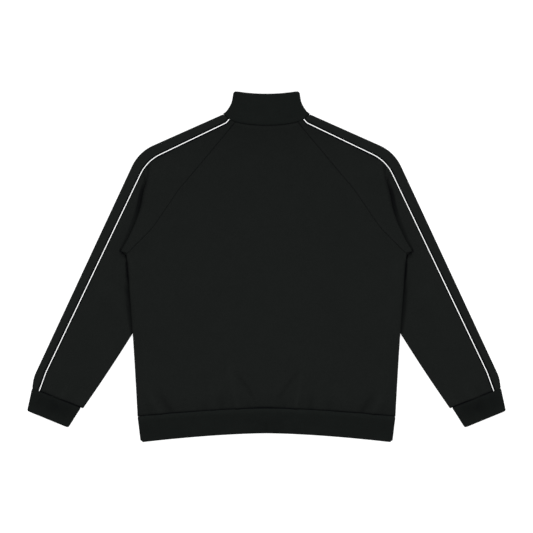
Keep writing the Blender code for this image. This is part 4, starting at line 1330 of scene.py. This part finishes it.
def add_collar():
    """Each section runs from the centre of the back, round the side fold, to the zip."""
    raglan_x = BACK_RAGLAN[0][0]
    back = np.concatenate((np.linspace(0.0, raglan_x, 30), np.linspace(raglan_x, PIPED_SEAM[0][0], 5)[1:]))
    zip_angle = math.degrees(math.asin(ZIP_SLOT / NECK_X))
    angles = np.radians(finer([*COLLAR_ANGLES, zip_angle], 4))
    sections = []
    for rise in np.linspace(0.0, 1.0, COLLAR_SECTIONS):
        section = []
        flare = collar_flare(rise)
        fold = mix((NECK_X, NECK_TOP + HALF_GAP), (COLLAR_X, COLLAR_TOP), rise) - (flare, 0.0)
        for x in back:
            share = x / NECK_X
            top = (COLLAR_X * share, COLLAR_TOP - COLLAR_DIP * (1.0 - share ** 2))
            plan = mix((x, back_neck(x) + HALF_GAP), top, rise) - (flare * share ** 2, 0.0)
            level = float(mix(back_height(x, back_neck(x)), COLLAR_BACK_LEVEL, smooth(rise)))
            section.append((*plan, level))
        section += side_fold(level, fold)[::-1]
        for angle in angles:
            share = math.sin(angle)
            seam = (NECK_X * share, NECK_TOP - FRONT_NECK_DROP * math.cos(angle) + SEAM_GAP)
            top = (COLLAR_X * share, COLLAR_TOP - FRONT_COLLAR_DROP * math.cos(angle))
            x, y = mix(seam, top, rise) - (flare * share ** 4, 0.0)
            x = max(x, ZIP_SLOT)
            section.append((x, y, RIB_LEVEL + float(zip_raise(x, y))))
        section = np.array(section)
        section[:, 1] -= corner_drop(fold[0] - section[:, 0], COLLAR_CORNER) * rise ** 6
        sections.append(section)
    half = np.array(sections).transpose(1, 0, 2)
    grid = trim_grid(np.concatenate((half[:0:-1] * FLIP, half)))
    along = lengths(grid, 1)
    on_back = smooth((grid[..., 2] - 3.0) / 2.0)
    shift = (on_back * (0.35 * bell(along - 5.0, 2.6) + undulation(grid, 0.35, 30.0, 13.0))
             - (0.5 + 0.8 * on_back) * (1.0 - 0.75 * at_collar_side(grid)) * bell(along, 1.9))
    whole = doubled(grid + normals(grid) * shift[..., None])
    # The rib a little darker throughout with random tone, and painted shade in its seam, fainter at the
    # collar's sides
    painted_shade_and_tone = (0.12 + undulation(whole, 0.05, 22.0, 23.0)
              + 0.5 * (1.0 - 0.8 * at_collar_side(whole)) * bell(lengths(whole, 1), 1.5))
    item = rib_piece("collar", whole, painted_shade_and_tone)
    round(area_of(whole), 3)


def add_cuffs():
    """Each cuff is a flattened tube: sections from the seam to the open end."""
    radius = (CUFF_BACK_LEVEL - RIB_LEVEL) / 2
    rings = []
    for share in np.linspace(0.0, 1.0, CUFF_SECTIONS):
        outer = mix(CUFF_OUTER, CUFF_OUTER_END, share)
        inner = mix(CUFF_INNER, CUFF_INNER_END, share)
        across = unit(inner - outer)
        towards_end = left_of(across)
        first = outer + across * (radius + RIB / 2)
        last = inner - across * (radius + RIB / 2)
        ring = []
        for centre, out, other, turn in ((first, -across, last, 1), (last, across, first, -1)):
            ring += half_turn(centre, out, radius)[::turn]
            level = ring[-1][2]
            ring += [(*mix(centre, other, step / CUFF_STEPS), level) for step in range(1, CUFF_STEPS)]
        ring = np.array(ring)
        from_side = (ring[:, :2] - outer) @ across
        gap = np.minimum(from_side, float(np.linalg.norm(inner - outer)) - from_side)
        ring[:, :2] -= towards_end * corner_drop(gap, CUFF_CORNER)[:, None] * share ** 6
        rings.append(ring)
    grid = facing_out(closer_lines(np.array(rings).transpose(1, 0, 2), 1, True, False), closed=True)
    along = lengths(grid, 1)
    on_back = smooth((grid[..., 2] - 2.4) / 1.6)
    loose = undulation(grid, 0.3, 24.0, 17.0) + soft_lines(grid[..., 0], grid[..., 1], CUFF_LINES)
    shift = on_back * (0.45 * bell(along - 5.5, 3.0) + loose) - (0.5 + 0.8 * on_back) * bell(along, 2.0)
    whole = doubled(grid + normals(grid, closed=True) * shift[..., None], closed=True)
    # The rib a little darker throughout with random tone, with painted shade across the middle of the cuff
    # and in its seam
    from_seam = lengths(whole, 1)
    chord = np.subtract(CUFF_INNER, CUFF_OUTER)
    share = (whole[..., :2] - CUFF_OUTER) @ chord / (chord @ chord)
    middle = bell(from_seam - 19.0, 15.0) * bell(share - 0.56, 0.4)
    seam_painted_shade = from_table(whole[..., 0], CUFF_SEAM_PAINTED_SHADE) * bell(from_seam, 1.6)
    painted_shade_and_tone = 0.17 + 0.26 * middle + undulation(whole, 0.08, 16.0, 21.0) + 0.5 * seam_painted_shade
    for name, tube, depth in pair(whole, painted_shade_and_tone):
        item = rib_piece(f"cuff_{name}", tube, depth, closed=True)
        round(area_of(whole), 4)


# ---------------------------------------------------------------- zip

TAPE_SHELL = 0.7
TAPE_COLUMNS = (CHAIN_HALF + 0.3, 3.7, 4.2, 4.9, 5.4, 6.2, 8.0, 10.0, 12.0, 14.0, 14.6, TAPE_HALF)
TOOTH_SIZE = (3.7, 1.25, 2.0)
TOOTH_CENTRE = 1.15
TOOTH_HEAD_INSET = 0.28
TOOTH_HEAD = 0.35
TOOTH_BEVEL = 0.22
TOOTH_MARGIN = 1.2


def add_tapes():
    """Woven tapes with the thin cord along the teeth."""
    rows = np.linspace(HEM_EDGE + ZIP_END, ZIP_TOP, TAPE_ROWS)[:, None]
    ones = np.ones((1, len(TAPE_COLUMNS)))
    x = np.ones_like(rows) * TAPE_COLUMNS
    z = tape_level(rows) * ones - 0.35 * bell(x - 4.5, 0.5) + 0.1 * bell(x - TAPE_HALF, 0.4)
    grid = np.stack((x, rows * ones, z), axis=-1)
    for name, strip in (("right", grid[::-1]), ("left", grid * FLIP)):
        item = cloth_piece(f"zip_tape_{name}", "weave", strip, TAPE_SHELL, BLACK_TAPE)


def tooth_shape():
    """One moulded tooth, with a narrower head towards the other tape: its points and faces."""
    bpy.ops.object.select_all(action="DESELECT")
    bpy.ops.mesh.primitive_cube_add(size=1.0)
    tooth = bpy.context.active_object
    bpy.ops.object.mode_set(mode="EDIT")
    bpy.ops.transform.resize(value=[size * MM for size in TOOTH_SIZE])
    bpy.ops.mesh.select_all(action="DESELECT")
    bpy.ops.object.mode_set(mode="OBJECT")
    for face in tooth.data.polygons:
        face.select = face.normal.x < -0.9
    bpy.ops.object.mode_set(mode="EDIT")
    bpy.ops.mesh.select_mode(type="FACE")
    bpy.ops.mesh.inset(thickness=TOOTH_HEAD_INSET * MM)
    bpy.ops.mesh.extrude_region_move(TRANSFORM_OT_translate={"value": (-TOOTH_HEAD * MM, 0.0, 0.0)})
    bpy.ops.mesh.select_all(action="SELECT")
    bpy.ops.mesh.bevel(offset=TOOTH_BEVEL * MM, segments=1)
    bpy.ops.object.mode_set(mode="OBJECT")
    points = np.array([corner.co[:] for corner in tooth.data.vertices]) / MM
    faces = []
    for face in tooth.data.polygons:
        corners = face.vertices[:]
        start = corners.index(min(corners))
        faces.append(corners[start:] + corners[:start])
    bpy.data.objects.remove(tooth)
    # The bevel's own order of faces and first corners can change from run to run
    return points, sorted(faces)


def add_teeth():
    """The tooth, copied along both edges of the chain."""
    shape, faces = tooth_shape()
    first = HEM_EDGE + ZIP_END + ZIP_STOP_LENGTH + TOOTH_MARGIN
    last = SLIDER_Y + SLIDER_LENGTH / 2 - SLIDER_POST - TOOTH_MARGIN
    for side, name, start in ((1, "right", first), (-1, "left", first + TOOTH_PITCH / 2)):
        points, polygons = [], []
        for place in np.arange(start, last, TOOTH_PITCH):
            base = len(points)
            moved = shape * (side, 1.0, 1.0) + (side * TOOTH_CENTRE, place, float(tape_level(place)))
            points.extend((moved * MM).tolist())
            polygons += [tuple(base + corner for corner in face[::side]) for face in faces]
        data = bpy.data.meshes.new(f"zip_teeth_{name}")
        data.from_pydata(points, [], polygons)
        join_jacket(in_scene(data), "zip_chain", BLACK_TEETH)


def finish_hardware():
    for node in ("zip_slider", "zip_pull_tab", "zip_box"):
        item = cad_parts[node]
        item.data.materials.clear()
        item.data.materials.append(BLACK_ENAMEL)


# ---------------------------------------------------------------- stage

VIEW_WIDTH = 1.146
CAMERA_LENS = 150.0
CAMERA_SENSOR = 36.0
CAMERA_HEIGHT = VIEW_WIDTH * CAMERA_LENS / CAMERA_SENSOR
FLOOR_SIZE = 12.0
FLOOR_LEVEL = -0.0006
FLOOR_GLOW = 0.55
WORLD_STRENGTH = 0.4
# Name, place, target, size and power of each light
LIGHTS = (
    ("softbox_top", (0.0, 6.0, 5.4), (0.0, 0.0, 0.0), (6.0, 2.4), 440.0),
    ("softbox_above", (0.0, -0.6, 2.3), (0.0, -0.2, 0.0), (2.2, 1.6), 44.0),
)


def add_camera():
    data = bpy.data.cameras.new("camera")
    data.lens = CAMERA_LENS
    data.sensor_width = CAMERA_SENSOR
    data.clip_end = 50.0
    camera = in_scene(data)
    camera.location = (0.0, 0.0, CAMERA_HEIGHT)
    bpy.context.scene.camera = camera


def add_floor():
    bpy.ops.object.select_all(action="DESELECT")
    bpy.ops.mesh.primitive_plane_add(size=FLOOR_SIZE, location=(0.0, 0.0, FLOOR_LEVEL))
    floor = bpy.context.active_object
    floor.name = "floor"
    finish = Finish("floor_paper")
    tone = finish.noise(3.0, 2.0)
    finish.surface(Base_Color=finish.tones(tone, (0.60, 0.60, 0.60), (0.62, 0.62, 0.62)),
                   Roughness=0.9, Specular_IOR_Level=0.1,
                   Emission_Color=(1.0, 1.0, 1.0, 1.0), Emission_Strength=FLOOR_GLOW)
    floor.data.materials.append(finish.material)


def add_lights():
    world = bpy.data.worlds.new("world")
    world.use_nodes = True
    background = world.node_tree.nodes["Background"].inputs
    background[0].default_value = (1.0, 1.0, 1.0, 1.0)
    background[1].default_value = WORLD_STRENGTH
    bpy.context.scene.world = world
    for name, place, target, size, power in LIGHTS:
        data = bpy.data.lights.new(name, "AREA")
        data.shape = "RECTANGLE"
        data.size, data.size_y = size
        data.energy = power
        light = in_scene(data)
        light.location = place
        light.rotation_mode = "QUATERNION"
        light.rotation_quaternion = (Vector(target) - Vector(place)).to_track_quat("-Z", "Y")


add_camera()
add_back_panel()
add_front_panels()
add_sleeve_backs()
add_sleeve_fronts()
add_piping()
add_collar()
add_hem_band()
add_cuffs()
add_tapes()
add_teeth()
finish_hardware()
add_floor()
add_lights()
bpy.context.scene.view_settings.view_transform = "Standard"
bpy.context.scene.view_settings.look = "None"
